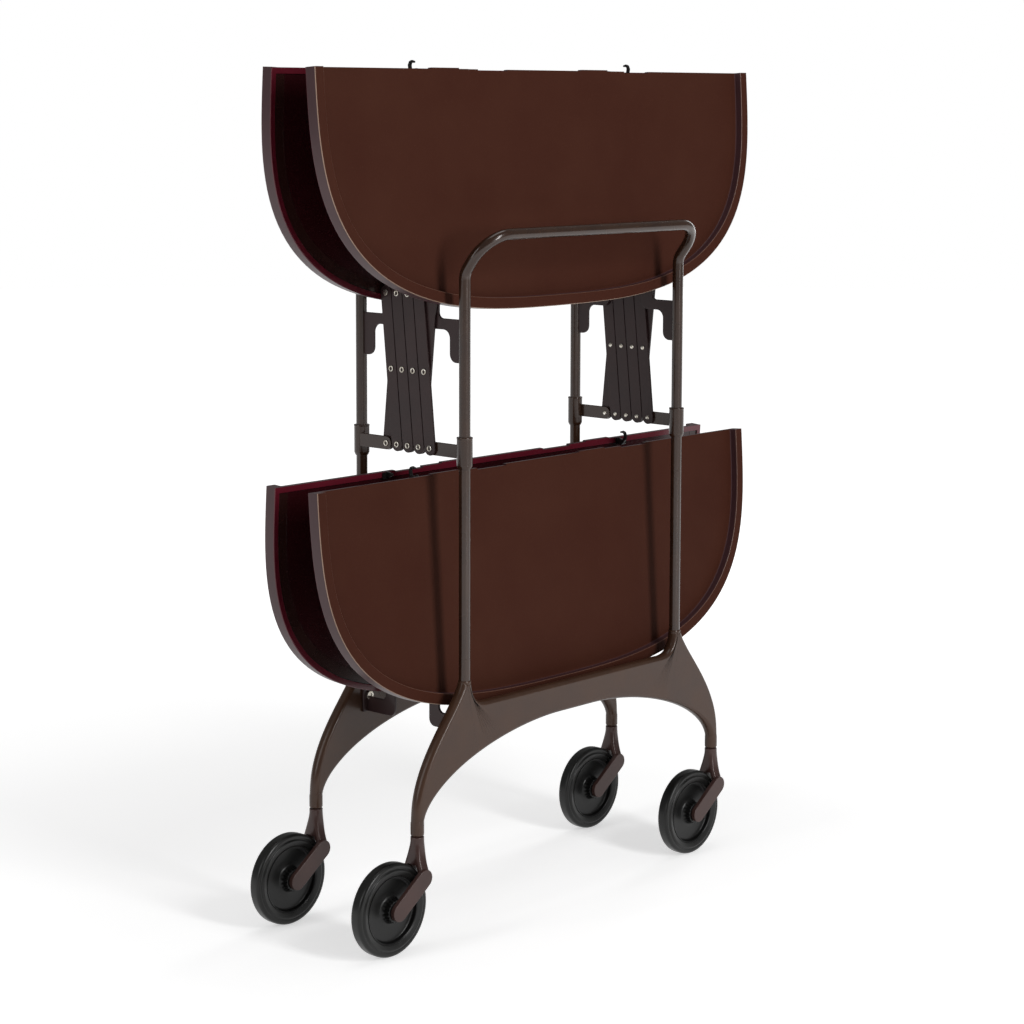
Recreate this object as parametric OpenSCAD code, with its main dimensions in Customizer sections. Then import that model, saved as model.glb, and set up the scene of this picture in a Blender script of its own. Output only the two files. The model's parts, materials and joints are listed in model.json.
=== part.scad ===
// Folding serving trolley: two tube frames on casters, joined by lazy-tong lattices,
// with four D-shaped tray leaves that swing up to make two round-cornered trays.
// Shown folded. X runs along the straight edges of the leaves, Y across the fold, Z up.
// The far half is the near half turned half a turn about Z.

/* [Tray leaves] */
// Length of a leaf along its straight edge
leaf_w = 690; // [660:5:720]
// Depth of a leaf from its straight edge to the middle of its curved edge
leaf_d = 252.5; // [246:0.5:258]
// Thickness of a leaf over its raised rim
leaf_t = 14; // [13:0.5:15]
// Width of the raised rim
rim_w = 12; // [10:0.5:16]
// Depth of the tray floor below the rim
floor_drop = 9; // [8:0.5:10]
// Thickness of the tray floor
floor_t = 3; // [2.5:0.25:3.5]
// Lean of a folded leaf from upright, in degrees
leaf_lean = 3.9; // [3.6:0.1:4.2]
// Distance from the middle plane to the top face of a leaf at its straight edge
leaf_face_y = 38; // [37.6:0.1:39]

/* [Leaf hinges] */
// Distance from the straight edge to the hinge pin, along the leaf
hinge_u = 222; // [220:0.5:224]
// Distance from the underside of the leaf to the hinge pin
hinge_drop = 6; // [5.6:0.1:6.4]
// Radius of the hinge pin
hinge_pin_r = 2.5; // [2:0.1:2.6]

/* [Frame] */
// Distance from the middle to a frame tube, along the leaf
tube_x = 173.4; // [170:0.2:176]
// Distance from the middle plane to a folded frame
frame_y = 75.8; // [75:0.1:77]
// Radius of the frame tube
tube_r = 6; // [5.5:0.1:6.5]
// Wall of the frame tube
tube_wall = 1.5; // [1:0.1:2]
// Height of the middle of the handle bar over the upper leaf hinges
handle_over = 54.6; // [50:0.2:62]
// Distance that the handle bar stands out from the frame
handle_out = 30.9; // [26:0.5:34]
// Tilt of the handle from upright, in degrees
handle_tilt = 38; // [34:1:42]
// Radius of the bend where the handle leans out
handle_bend_r = 20; // [16:1:22]
// Radius of the corners between the handle's sides and its bar
handle_corner_r = 34; // [26:1:36]

/* [Leg casting] */
// Distance from the middle to a caster stem, along the leaf
stem_x = 243.5; // [238:0.5:250]
// Radius of the caster stem
stem_r = 7.1; // [7:0.1:7.4]
// Height of the split between stem and caster
stem_z = 116.9; // [115.9:0.5:120.9]
// Thickness of the casting
cast_t = 13.2; // [12.8:0.2:13.6]
// Height of the underside of the bridge between the legs
bridge_low = 208; // [205:0.5:210]
// Height of the bridge itself
bridge_h = 33.5; // [30:0.5:36]
// Height of the uprights over the bridge, where the tubes are seated
upright_h = 25.8; // [23:0.2:28]

/* [Lattice] */
// Distance between the end pivots of a link
link_len = 160; // [158:0.5:162]
// Gap between neighbouring links when folded
link_gap = 1; // [0.6:0.1:2]
// Thickness of a link
link_t = 2.5; // [2:0.1:2.5]
// Height of the lower row of pivots over the lower leaves' straight edge
pivot_over_edge = 28.1; // [26:0.1:32]
// Height of the upper leaf hinges over the upper row of pivots
pin_over_pivot = 9.95; // [9:0.05:12]
// Radius of the rivets' shanks
rivet_r = 2; // [1.8:0.1:2.2]
// Radius of the rivets' ring heads
rivet_head_r = 3.25; // [3:0.1:3.5]
// Height of the rivets' heads
rivet_head_h = 1; // [0.8:0.1:1.2]

/* [Sleeves] */
// Outer radius of the sliding sleeve
sleeve_r = 8.25; // [8:0.05:8.5]
// Length of the sliding sleeve
sleeve_len = 32.8; // [30:0.2:33]
// Height of the flat arm on the sleeve
arm_h = 14.2; // [12:0.2:14.4]

/* [Brackets] */
// Thickness of the bracket plates
plate_t = 3; // [2.6:0.1:3]
// Height of the upper bracket's arm
arm_plate_h = 11.5; // [10:0.5:12]
// Height of the lower bracket's arm
low_arm_h = 16.3; // [14:0.1:18]
// Height of the lower bracket's arm over the underside of the bridge
low_arm_rise = 3.05; // [2:0.05:4]
// Length of the tail that is welded along the tube
tail_len = 45; // [40:1:48]

/* [Casters] */
// Radius of the wheel over its tyre
wheel_r = 48.5; // [47:0.5:49]
// Width of the tyre
tyre_w = 16; // [14:0.5:17]
// Radial depth of the tyre
tyre_depth = 13; // [11:0.5:14]
// Distance that the wheel trails behind the stem
trail = 41; // [40:0.5:42]
// Outer width of the fork
fork_w = 34; // [33:0.5:36]
// Thickness of a fork arm
fork_arm_t = 5; // [4.5:0.25:5.5]
// Width of a fork arm
fork_arm_w = 19; // [17:0.5:20]
// Radius of the wheel axle
axle_r = 3; // [2.5:0.1:3.5]
// Radius of the swivel pin
swivel_r = 4; // [3.5:0.1:4.5]
// Length of the swivel pin inside the stem
swivel_len = 24; // [20:1:28]

/* [Latches] */
// Thickness of the latch hook
hook_t = 3; // [2.6:0.1:3]
// Distance from the middle to the latch hook, along the leaf
hook_x = 184.5; // [184.3:0.1:188]
// Radius of the catch pin
catch_r = 1.5; // [1.3:0.1:1.6]

/* [Clearances] */
// Running clearance around moving pins, on the radius
run_gap = 0.05; // [0.03:0.01:0.08]
// Clearance around fixed pins, on the radius
fix_gap = 0.02; // [0.01:0.01:0.03]
// Side gap between moving plates
side_gap = 0.2; // [0.15:0.05:0.25]
// Gap between a bracket's post and the leaf beside it
post_gap = 0.34; // [0.3:0.02:0.5]
// Gap between an upper bracket's arm and the leaf over it
arm_gap = 13.55; // [10:0.05:16]
// Gap between a lower bracket's arm and the leaf over it
low_arm_gap = 8.85; // [7:0.05:12]

/* [Hidden] */

$fn = 48;
hull_fn = 32;
arc_steps = 10;
over = 0.01;
past = 1;
big = 400;

tray_brown = "#48281f";
fitting_black = "#24201f";
frame_bronze = "#4a3c35";
link_brown = "#40332f";
rivet_nickel = "#c9c2ba";
fork_bronze = "#46342e";
wheel_black = "#26282a";
tyre_black = "#1d1f21";

// Leaf outline: two powers that flatten the sides and the curved end
side_power = 3;
end_power = 3.2;
outline_step = 3;

// Underside of a leaf: a step inside the rim and a lip along the straight edge
step_w = 7;
step_t = 1;
lip_w = 8;

// Tabs on the straight edge, each facing a notch in the other leaf
tab_spans = [[60, 104], [-174, -133]];
tab_h = 1.2;
tab_play = 0.5;

// Leaf hinge pin: distance from the middle plane and from the straight edge down
pin_w = leaf_t + hinge_drop;
pin_y = leaf_face_y + hinge_u * sin(leaf_lean) - pin_w * cos(leaf_lean);
pin_fall = hinge_u * cos(leaf_lean) + pin_w * sin(leaf_lean);

// Curved edge of a leaf beside a tube: distance from the straight edge down
leaf_reach = leaf_d * pow(1 - pow(2 * tube_x / leaf_w, side_power), 1 / end_power);
leaf_fall = leaf_reach * cos(leaf_lean) + leaf_t * sin(leaf_lean);

// Underside of a leaf beside the upper pivots: distance from the middle plane
pivot_u = (pin_fall + pin_over_pivot - leaf_t * sin(leaf_lean)) / cos(leaf_lean);
under_y = leaf_face_y + pivot_u * sin(leaf_lean) - leaf_t * cos(leaf_lean);

// Lattice: two and a half pitches fit between the middle plane and the leaf
link_pitch = (under_y - post_gap + link_gap / 2) / 2.5;
link_w = link_pitch - link_gap;
lattice_y = 2 * link_pitch;
link_lean = asin(link_pitch / link_len);

// Heights, each from the one below it
bridge_top = bridge_low + bridge_h;
joint_z = bridge_top + upright_h;
low_arm_z = bridge_low + low_arm_rise;
lower_edge_z = low_arm_z + low_arm_h + low_arm_gap + leaf_fall;
lower_pin_z = lower_edge_z - pin_fall;
low_pivot_z = lower_edge_z + pivot_over_edge;
pivot_z = low_pivot_z + link_len * cos(link_lean);
upper_pin_z = pivot_z + pin_over_pivot;
upper_edge_z = upper_pin_z + pin_fall;
arm_top_z = upper_edge_z - leaf_fall - arm_gap;
handle_z = upper_pin_z + handle_over;

// Layers beside each tube, as distance from the middle along the leaf
layer_gap = 0.3;
plate_out = tube_x + plate_t / 2;
plate_in = tube_x - plate_t / 2;
inner_layer = plate_out + layer_gap;
outer_layer = inner_layer + link_t + side_gap;
lattice_face = outer_layer + link_t;

// Hinge lugs stand beside the plates
lug_t = 3;
lug_gap = 0.4;
lug_r = 5;
lug_foot_w = 12;
lug_foot_t = 2;
lug_foot_len = 17;
lug_foot_over = 1;
lug_play = 0.3;
ear_x0 = plate_in - lug_gap - lug_t;
pin_head_t = 1.6;
pin_head_r = 4;
pin_short = 0.1;

// Rivets: small tails inside, dimples in the ring heads outside
tail_out = 0.5;
dimple_in = 0.25;
head_gap = side_gap / 4;

// Latch geometry across a leaf, as depth below its top face and height over its edge
hook_pivot = [24, -3.5];
hook_path = [[26.4, -2.6], [29, 0.4], [29.4, 5], [28, 7.8], [25.8, 8.6], [23.4, 7.9]];
hook_path_r = [2.2, 1.7, 1.6, 1.4, 1.3, 1.1];
hook_hump = [20.2, -0.6];
hook_hump_r = 1.8;
hook_boss_r = 3.4;
catch_at = [18.7, -2.7];
catch_ear_r = 2.7;
hook_ear_r = 3.2;
ear_t = 2.5;
ear_foot_w = 8;
ear_foot_t = 1.5;
ear_foot_margin = 0.5;
hook_rivet_r = 1.55;
hook_head_t = 0.9;
hook_head_out = 1;
ear_x = hook_x + hook_t / 2 + side_gap;

// Bracket plate roundings
post_x = lattice_y;
post_r = link_w / 2;
tail_w = 20.2;
tail_round = 9;
arm_round = 9;
post_round = 6;
heel_round = 8;
neck_r = 5;
low_neck = 10;
low_post_cut = 0.5;
flange_t = 3;
flange_w = 16;
flange_h = 24;
bolt_r = 2.5;
bolt_head_r = 4.5;
bolt_head_t = 2.5;
bolt_len = 11;
bolt_rise = 17.5;
bolt_play = 0.5;

// Tube seat, swells at its bends, and stem
swell_len = 0.6;
swell_out = 0.04;
spigot_len = 16;
collar_h = 5;
collar_out = 0.3;
sink = 0.4;
stem_blend = 16;
stem_lap = 5;
swivel_play = 1;

// Casting outline
arch_start = 133;
arch_power = 1.78;
upright_steps = 8;
leg_steps = 14;
arch_points = upright_steps + leg_steps + 2;
bullnose_r = 7.4;
upright_run = 24;
upright_low_pull = 6;
upright_top_pull = [2, 8];
leg_top_pull = [12, 34];
leg_low_pull = 68;

// Sleeve: lip at its top, chamfer at its foot
sleeve_lip_h = 1.5;
sleeve_lip_out = 0.3;
sleeve_foot_h = 3;
sleeve_foot_in = 1.4;
sleeve_sag = 1;

// Wheel and fork
knee_x = -4.6;
knee_z = 75.5;
flare_z = 110;
flare_h = 1;
neck_back = 8.5;
block_z = 80;
block_h = 4;
wheel_gap = 3;
hub_r = 12;
web_w = 8;
hub_gap = 0.4;
tyre_round = 4;
axle_bury = 3.5;
stem_gap = 0.4;

function bezier(a, b, c, d, n) = [
    for (i = [0:n]) let (t = i / n, s = 1 - t)
        s * s * s * a + 3 * s * s * t * b + 3 * s * t * t * c + t * t * t * d
];
function mirrored(pts) = [for (i = [len(pts) - 1:-1:0]) [-pts[i][0], pts[i][1]]];
function backwards(pts) = [for (i = [len(pts) - 1:-1:0]) pts[i]];
function unit(v) = v / norm(v);

function left_of(v) = unit([-v[1], v[0]]);
function arc(centre, r, from, to) = [
    for (i = [0:arc_steps]) let (a = from + (to - from) * i / arc_steps)
        centre + r * [cos(a), sin(a)]
];

// Closed outline drawn in by d, with mitred corners
function drawn_in(pts, d) = let (n = len(pts)) [
    for (i = [0:n - 1]) let (
        before = left_of(pts[i] - pts[(i + n - 1) % n]),
        after = left_of(pts[(i + 1) % n] - pts[i])
    ) pts[i] + d * (before + after) / (1 + before * after)
];

module half_turn() {
    rotate([0, 0, 180]) children();
}

module both_sides() {
    children();
    mirror([1, 0, 0]) children();
}

// Puts a flat drawing in the YZ plane, from x0 for the given thickness
module upright_plate(x0, thick) {
    translate([x0, 0, 0]) rotate([90, 0, 90]) linear_extrude(thick) children();
}

// Flat bar with round ends between two points
module round_bar_2d(a, b, r) {
    d = b - a;
    translate(a) circle(r);
    translate(b) circle(r);
    translate(a) rotate(atan2(d[1], d[0])) translate([0, -r]) square([norm(d), 2 * r]);
}

// Frame tube, bent handle included

// The handle's side runs straight between its two bends
handle_rise = (handle_out - handle_bend_r * (1 - cos(handle_tilt))) / sin(handle_tilt);
bend_z = handle_z - handle_bend_r * sin(handle_tilt) - handle_rise * cos(handle_tilt);
side_len = handle_rise - handle_corner_r;

// Slight swell of the tube where each bend begins and ends
module swell(r) {
    cylinder(h = swell_len, r = r + swell_out, center = true);
}

// Half of the bent tube as a solid rod of radius r, up to the middle of the handle bar
module handle_rod(r) {
    translate([-tube_x, -frame_y, joint_z]) cylinder(h = bend_z - joint_z, r = r);
    translate([-tube_x, -frame_y, bend_z]) swell(r);
    translate([-tube_x, -frame_y - handle_bend_r, bend_z]) {
        rotate([90, 0, 90]) rotate_extrude(angle = handle_tilt) translate([handle_bend_r, 0]) circle(r);
        rotate([handle_tilt, 0, 0]) translate([0, handle_bend_r, 0]) {
            swell(r);
            cylinder(h = side_len, r = r);
            translate([0, 0, side_len]) swell(r);
            translate([handle_corner_r, 0, side_len]) rotate([90, 0, 180])
                rotate_extrude(angle = 90) translate([handle_corner_r, 0]) circle(r);
            translate([handle_corner_r, 0, handle_rise]) rotate([0, 90, 0]) {
                swell(r);
                cylinder(h = tube_x - handle_corner_r + over, r = r);
            }
        }
    }
}

module handle_tube() {
    color(frame_bronze) difference() {
        both_sides() handle_rod(tube_r);
        both_sides() {
            handle_rod(tube_r - tube_wall);
            translate([-tube_x, -frame_y, joint_z - past])
                cylinder(h = 2 * past, r = tube_r - tube_wall);
        }
    }
}

// Leg casting: bridge, two uprights and two splayed legs in one rounded outline

leg_foot_z = stem_z + stem_blend - stem_lap;
stem_wall = stem_r - sink;
seat_wall = tube_r + collar_out - sink;
arch_a = stem_x - stem_wall - arch_start;
arch_b = bridge_low - leg_foot_z;
tube_seat = tube_r + collar_out;

// Right half of the outline: its underside and its top side, each from the middle outwards
arch_curve = [
    for (t = [0:1 / (arch_points - 1):1 + over]) let (a = 90 * (1 - min(t, 1)))
        [arch_start + arch_a * pow(cos(a), 2 / arch_power),
         leg_foot_z + arch_b * pow(sin(a), 2 / arch_power)]
];
upright_inside = bezier(
    [tube_x - seat_wall - upright_run, bridge_top],
    [tube_x - seat_wall - upright_low_pull, bridge_top],
    [tube_x - seat_wall - upright_top_pull[0], bridge_top + upright_top_pull[1]],
    [tube_x - seat_wall, joint_z], upright_steps);
leg_outside = bezier(
    [tube_x + seat_wall, joint_z],
    [tube_x + seat_wall + leg_top_pull[0], joint_z - leg_top_pull[1]],
    [stem_x + stem_wall, leg_foot_z + leg_low_pull],
    [stem_x + stem_wall, leg_foot_z], leg_steps);
low_side = concat([[0, bridge_low]], arch_curve);
top_side = concat([[0, bridge_top]], upright_inside, leg_outside);
right_half = concat(low_side, backwards(top_side));
casting_outline = concat(right_half, [for (i = [1:len(right_half) - 2])
    let (p = right_half[len(right_half) - 1 - i]) [-p[0], p[1]]]);
casting_levels = [for (k = [-1, -0.85, -0.6, -0.3, 0.3, 0.6, 0.85, 1]) k * cast_t / 2];

// Solid between the outline's copies at each level, with its flat sides as ladders of triangles
module casting_body() {
    n = len(casting_outline);
    m = len(casting_levels);
    side = len(low_side);
    points = [
        for (y = casting_levels)
            for (p = drawn_in(casting_outline, bullnose_r - sqrt(pow(bullnose_r, 2) - y * y)))
                [p[0], y, p[1]]
    ];
    walls = [
        for (k = [0:m - 2]) for (i = [0:n - 1]) let (j = (i + 1) % n)
            each [[k * n + i, k * n + j, (k + 1) * n + j], [k * n + i, (k + 1) * n + j, (k + 1) * n + i]]
    ];
    flat = [
        for (i = [0:side - 2]) let (
            low = [i, i + 1],
            top = [2 * side - 1 - i, 2 * side - 2 - i],
            left_low = [(n - i) % n, n - i - 1],
            left_top = [2 * side - 1 + i, 2 * side + i]
        ) each [
            [low[0], top[0], top[1]], [low[0], top[1], low[1]],
            [left_low[0], left_low[1], left_top[1]], [left_low[0], left_top[1], left_top[0]]
        ]
    ];
    other_flat = [for (f = flat) [for (i = [2:-1:0]) f[i] + (m - 1) * n]];
    translate([0, -frame_y, 0]) polyhedron(points, concat(walls, flat, other_flat));
}

module casting_additions() {
    translate([tube_x, -frame_y, joint_z - collar_h]) cylinder(h = collar_h, r = tube_seat);
    translate([tube_x, -frame_y, joint_z - collar_h])
        cylinder(h = collar_h + spigot_len, r = tube_r - tube_wall - fix_gap);
    translate([stem_x, -frame_y, stem_z]) cylinder(h = stem_blend, r = stem_r);
}

module leg_casting() {
    color(frame_bronze) difference() {
        union() {
            casting_body();
            both_sides() casting_additions();
        }
        both_sides() translate([stem_x, -frame_y, stem_z - over])
            cylinder(h = swivel_len + swivel_play, r = swivel_r + run_gap);
        both_sides() translate([tube_x, -frame_y + cast_t / 2 + over, low_arm_z + bolt_rise])
            rotate([90, 0, 0]) cylinder(h = bolt_len + bolt_play, r = bolt_r + fix_gap);
    }
}

// Bracket plates. Flat drawings use distance from the middle plane, then height

// Outline from the right of a post, round its narrower tip, and back to the post's left
function neck(post, post_r, tip, tip_r) = let (
    d = tip - post,
    along = atan2(d[1], d[0]),
    side = acos((post_r - tip_r) / norm(d))
) concat(arc(post, post_r, 0, along - side), arc(tip, tip_r, along - side, along + side),
         arc(post, post_r, along + side, 180));

module upper_bracket_2d() {
    low = arm_top_z - arm_plate_h;
    left = post_x - post_r;
    right = post_x + post_r;
    tail_y = frame_y - tail_w;
    tail_z = arm_top_z - tail_len;
    polygon(concat(
        arc([left + heel_round, low + heel_round], heel_round, 180, 270),
        arc([tail_y - arm_round, low - arm_round], arm_round, 90, 0),
        arc([tail_y + tail_round, tail_z + tail_round], tail_round, 180, 270),
        [[frame_y, tail_z], [frame_y, arm_top_z]],
        arc([right + post_round, arm_top_z + post_round], post_round, 270, 180),
        neck([post_x, pivot_z], post_r, [pin_y, upper_pin_z], neck_r)
    ));
}

module upper_bracket() {
    difference() {
        upright_plate(tube_x - plate_t / 2, plate_t) mirror([1, 0]) difference() {
            upper_bracket_2d();
            translate([post_x, pivot_z]) circle(rivet_r + fix_gap);
            translate([pin_y, upper_pin_z]) circle(hinge_pin_r + fix_gap);
        }
        translate([tube_x, -frame_y, arm_top_z - big / 2]) cylinder(h = big, r = tube_r);
        translate([tube_x - plate_t, -frame_y - 2 * tube_r, arm_top_z - big / 2])
            cube([2 * plate_t, 2 * tube_r, big]);
    }
}

module lower_bracket_2d() {
    half = post_r - low_post_cut;
    middle = post_x + low_post_cut;
    root = frame_y - cast_t / 2;
    arm_top = low_arm_z + low_arm_h;
    polygon(concat(
        arc([middle - half + heel_round, low_arm_z + heel_round], heel_round, 180, 270),
        [[root, low_arm_z], [root, arm_top]],
        arc([middle + half + post_round, arm_top + post_round], post_round, 270, 180),
        neck([middle, lower_pin_z - low_neck], half, [pin_y, lower_pin_z], neck_r)
    ));
}

module lower_bracket() {
    difference() {
        union() {
            upright_plate(tube_x - plate_t / 2, plate_t) mirror([1, 0]) difference() {
                lower_bracket_2d();
                translate([pin_y, lower_pin_z]) circle(hinge_pin_r + fix_gap);
            }
            translate([tube_x - flange_w / 2, -frame_y + cast_t / 2, low_arm_z])
                cube([flange_w, flange_t, flange_h]);
        }
        translate([tube_x, -frame_y + cast_t / 2 - over, low_arm_z + bolt_rise]) rotate([-90, 0, 0]) {
            cylinder(h = flange_t + 2 * over, r = bolt_r + fix_gap);
            translate([0, 0, flange_t]) cylinder(h = bolt_head_t + bolt_play, r = bolt_head_r + bolt_play);
        }
    }
}

module upper_brackets() {
    color(link_brown) both_sides() upper_bracket();
}

module lower_brackets() {
    color(link_brown) both_sides() lower_bracket();
}

// Pins, rivets and bolts that stay on a frame

module hinge_pin(z) {
    tip = plate_out - pin_short;
    head = ear_x0 - side_gap;
    translate([0, -pin_y, z]) rotate([0, 90, 0]) {
        translate([0, 0, head]) cylinder(h = tip - head, r = hinge_pin_r);
        translate([0, 0, head - pin_head_t]) cylinder(h = pin_head_t, r = pin_head_r);
    }
}

// The anchor rivet joins the plate to the top link, with a spacer where a layer is empty
module anchor_rivet(layer) {
    top = layer + link_t + head_gap;
    translate([0, -post_x, pivot_z]) rotate([0, 90, 0]) {
        translate([0, 0, plate_in - rivet_head_h]) cylinder(h = rivet_head_h, r = rivet_head_r);
        translate([0, 0, plate_in - over]) cylinder(h = top - plate_in, r = rivet_r);
        translate([0, 0, top - over]) cylinder(h = rivet_head_h, r = rivet_head_r);
        if (layer > inner_layer)
            translate([0, 0, plate_out]) cylinder(h = layer - head_gap - plate_out, r = 2 * rivet_r);
    }
}

module bracket_bolt() {
    translate([tube_x, -frame_y + cast_t / 2 + flange_t, low_arm_z + bolt_rise]) rotate([90, 0, 0]) {
        cylinder(h = flange_t + bolt_len, r = bolt_r);
        difference() {
            translate([0, 0, -bolt_head_t]) cylinder(h = bolt_head_t, r = bolt_head_r);
            translate([0, 0, -bolt_head_t - over]) cylinder(h = bolt_head_t / 2, r = bolt_r, $fn = 6);
        }
    }
}

module frame_fasteners() {
    color(rivet_nickel) {
        both_sides() {
            hinge_pin(upper_pin_z);
            hinge_pin(lower_pin_z);
            bracket_bolt();
        }
        mirror([1, 0, 0]) anchor_rivet(inner_layer);
        anchor_rivet(outer_layer);
    }
}

// Sliding sleeves with their arms

module sleeve(arm_layer) {
    low = low_pivot_z - sleeve_len / 2 - sleeve_sag;
    difference() {
        union() {
            translate([tube_x, -frame_y, low]) {
                cylinder(h = sleeve_foot_h, r1 = sleeve_r - sleeve_foot_in, r2 = sleeve_r);
                translate([0, 0, sleeve_foot_h]) cylinder(h = sleeve_len - sleeve_foot_h, r = sleeve_r);
                translate([0, 0, sleeve_len - sleeve_lip_h])
                    cylinder(h = sleeve_lip_h, r = sleeve_r + sleeve_lip_out);
            }
            upright_plate(arm_layer, link_t) mirror([1, 0])
                round_bar_2d([post_x, low_pivot_z], [frame_y - arm_h / 2, low_pivot_z], arm_h / 2);
        }
        translate([tube_x, -frame_y, low - past])
            cylinder(h = sleeve_len + 2 * past, r = tube_r + run_gap);
        translate([arm_layer - past, -post_x, low_pivot_z]) rotate([0, 90, 0])
            cylinder(h = link_t + 2 * past, r = rivet_r + run_gap);
    }
}

module sleeves() {
    color(frame_bronze) {
        mirror([1, 0, 0]) sleeve(inner_layer);
        sleeve(outer_layer);
    }
}

// Lattice links. Pivot columns count from the frame: 0 at the bracket, 2 in the middle

function column_y(k) = -lattice_y + k * link_pitch;
mid_z = (pivot_z + low_pivot_z) / 2;

module link(top_column, low_column, layer) {
    top = [column_y(top_column), pivot_z];
    low = [column_y(low_column), low_pivot_z];
    upright_plate(layer, link_t) difference() {
        round_bar_2d(top, low, link_w / 2);
        for (p = [top, low, (top + low) / 2]) translate(p) circle(rivet_r + run_gap);
    }
}

// Links that run down and in are hung on the inner layer at the left, the others on the outer
module link_pair(top_column, low_column) {
    down_and_in = low_column > top_column;
    color(link_brown) {
        mirror([1, 0, 0]) link(top_column, low_column, down_and_in ? inner_layer : outer_layer);
        link(top_column, low_column, down_and_in ? outer_layer : inner_layer);
    }
}

// Rivet through both layers, with a ring head outside and a small tail inside
module link_rivet(y, z) {
    translate([0, y, z]) rotate([0, 90, 0]) {
        translate([0, 0, inner_layer - head_gap - rivet_head_h])
            cylinder(h = rivet_head_h, r = rivet_r + tail_out);
        translate([0, 0, inner_layer - head_gap - over])
            cylinder(h = lattice_face - inner_layer + 2 * head_gap + 2 * over, r = rivet_r);
        translate([0, 0, lattice_face + head_gap]) ring_head();
    }
}

module ring_head() {
    difference() {
        cylinder(h = rivet_head_h, r = rivet_head_r);
        translate([0, 0, rivet_head_h / 2]) cylinder(h = rivet_head_h, r = rivet_r - dimple_in);
    }
}

// Half of a rivet at a middle pivot, held in one layer only
module half_rivet(y, z, layer) {
    outward = layer == outer_layer;
    translate([0, y, z]) rotate([0, 90, 0]) {
        if (outward) {
            translate([0, 0, layer]) cylinder(h = link_t + over, r = rivet_r);
            translate([0, 0, layer + link_t]) ring_head();
        } else {
            translate([0, 0, layer - over]) cylinder(h = link_t + over, r = rivet_r);
            translate([0, 0, layer - rivet_head_h]) cylinder(h = rivet_head_h, r = rivet_r + tail_out);
        }
    }
}

module rivet_pair(y, z) {
    both_sides() link_rivet(y, z);
}

module top_rivets() {
    color(rivet_nickel) {
        rivet_pair((column_y(0) + column_y(1)) / 2, mid_z);
        rivet_pair(column_y(1), low_pivot_z);
    }
}

module foot_rivets() {
    color(rivet_nickel) {
        rivet_pair(column_y(1), pivot_z);
        rivet_pair(column_y(0), low_pivot_z);
    }
}

module mid_rivets_a() {
    color(rivet_nickel) {
        rivet_pair((column_y(1) + column_y(2)) / 2, mid_z);
        mirror([1, 0, 0]) half_rivet(column_y(2), pivot_z, outer_layer);
        half_rivet(column_y(2), pivot_z, inner_layer);
    }
}

module mid_rivets_b() {
    color(rivet_nickel) {
        mirror([1, 0, 0]) half_rivet(column_y(2), low_pivot_z, inner_layer);
        half_rivet(column_y(2), low_pivot_z, outer_layer);
    }
}

// Tray leaf. Drawn hanging from its straight edge, with Y as depth below its top face

function leaf_point(t, inset) = let (
    c = abs(cos(t)),
    s = sin(t),
    x = pow(c, 2 / side_power),
    u = pow(s, 2 / end_power),
    g = unit([side_power / (leaf_w / 2) * pow(x, side_power - 1),
              end_power / leaf_d * pow(u, end_power - 1)]),
    side = cos(t) < 0 ? -1 : 1
) [side * (x * leaf_w / 2 - inset * g[0]), -(u * leaf_d - inset * g[1])];

function leaf_edge(inset) = [for (t = [0:outline_step:180]) leaf_point(t, inset)];

// Slab between two depths below the top face
module slab(w0, w1) {
    rotate([90, 0, 0]) translate([0, 0, -w1]) linear_extrude(w1 - w0) children();
}

module rim_2d(outer, inner) {
    polygon(concat(leaf_edge(outer), backwards(leaf_edge(inner))));
}

module leaf_blank() {
    floor_low = floor_drop + floor_t;
    slab(0, leaf_t) rim_2d(0, rim_w);
    slab(floor_drop, floor_low) polygon(leaf_edge(rim_w / 2));
    slab(floor_low - over, floor_low + step_t) rim_2d(rim_w / 2, rim_w + step_w);
    slab(floor_low - over, leaf_t) intersection() {
        polygon(leaf_edge(rim_w / 2));
        translate([-leaf_w / 2, -lip_w]) square([leaf_w, lip_w]);
    }
}

module leaf() {
    difference() {
        union() {
            leaf_blank();
            for (s = tab_spans)
                translate([s[0], floor_drop, -over]) cube([s[1] - s[0], leaf_t - floor_drop, tab_h + over]);
        }
        for (s = tab_spans)
            translate([-s[1] - tab_play, floor_drop - past, -tab_h - tab_play])
                cube([s[1] - s[0] + 2 * tab_play, leaf_t, tab_h + tab_play + past]);
        both_sides() lug_foot(lug_play);
    }
}

// Hinge lug: a foot under the tray floor and an ear for the pin
module lug_foot(play) {
    translate([ear_x0 - lug_foot_w - play, floor_drop + floor_t, -hinge_u - lug_r - lug_foot_over - play])
        cube([lug_foot_w + lug_t + 2 * play, lug_foot_t, lug_foot_len + 2 * play]);
}

module hinge_lug() {
    low = floor_drop + floor_t;
    difference() {
        union() {
            lug_foot(0);
            upright_plate(ear_x0, lug_t) {
                translate([pin_w, -hinge_u]) circle(lug_r);
                translate([low, -hinge_u - lug_r]) square([pin_w - low, 2 * lug_r]);
            }
        }
        translate([ear_x0 - past, pin_w, -hinge_u]) rotate([0, 90, 0])
            cylinder(h = lug_t + 2 * past, r = hinge_pin_r + run_gap);
    }
}

// Ear that stands on the lip, with a round end at the given depth and height
module lip_ear(at, r) {
    upright_plate(ear_x, ear_t) {
        translate(at) circle(r);
        translate([leaf_t, at[1] - r]) square([at[0] - leaf_t, 2 * r]);
    }
    translate([ear_x, leaf_t, -lip_w + ear_foot_margin])
        cube([ear_foot_w, ear_foot_t, lip_w - 2 * ear_foot_margin]);
}

module hook_mount() {
    difference() {
        lip_ear(hook_pivot, hook_ear_r);
        translate([ear_x - past, hook_pivot[0], hook_pivot[1]]) rotate([0, 90, 0])
            cylinder(h = ear_t + 2 * past, r = hook_rivet_r + fix_gap);
    }
}

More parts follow.
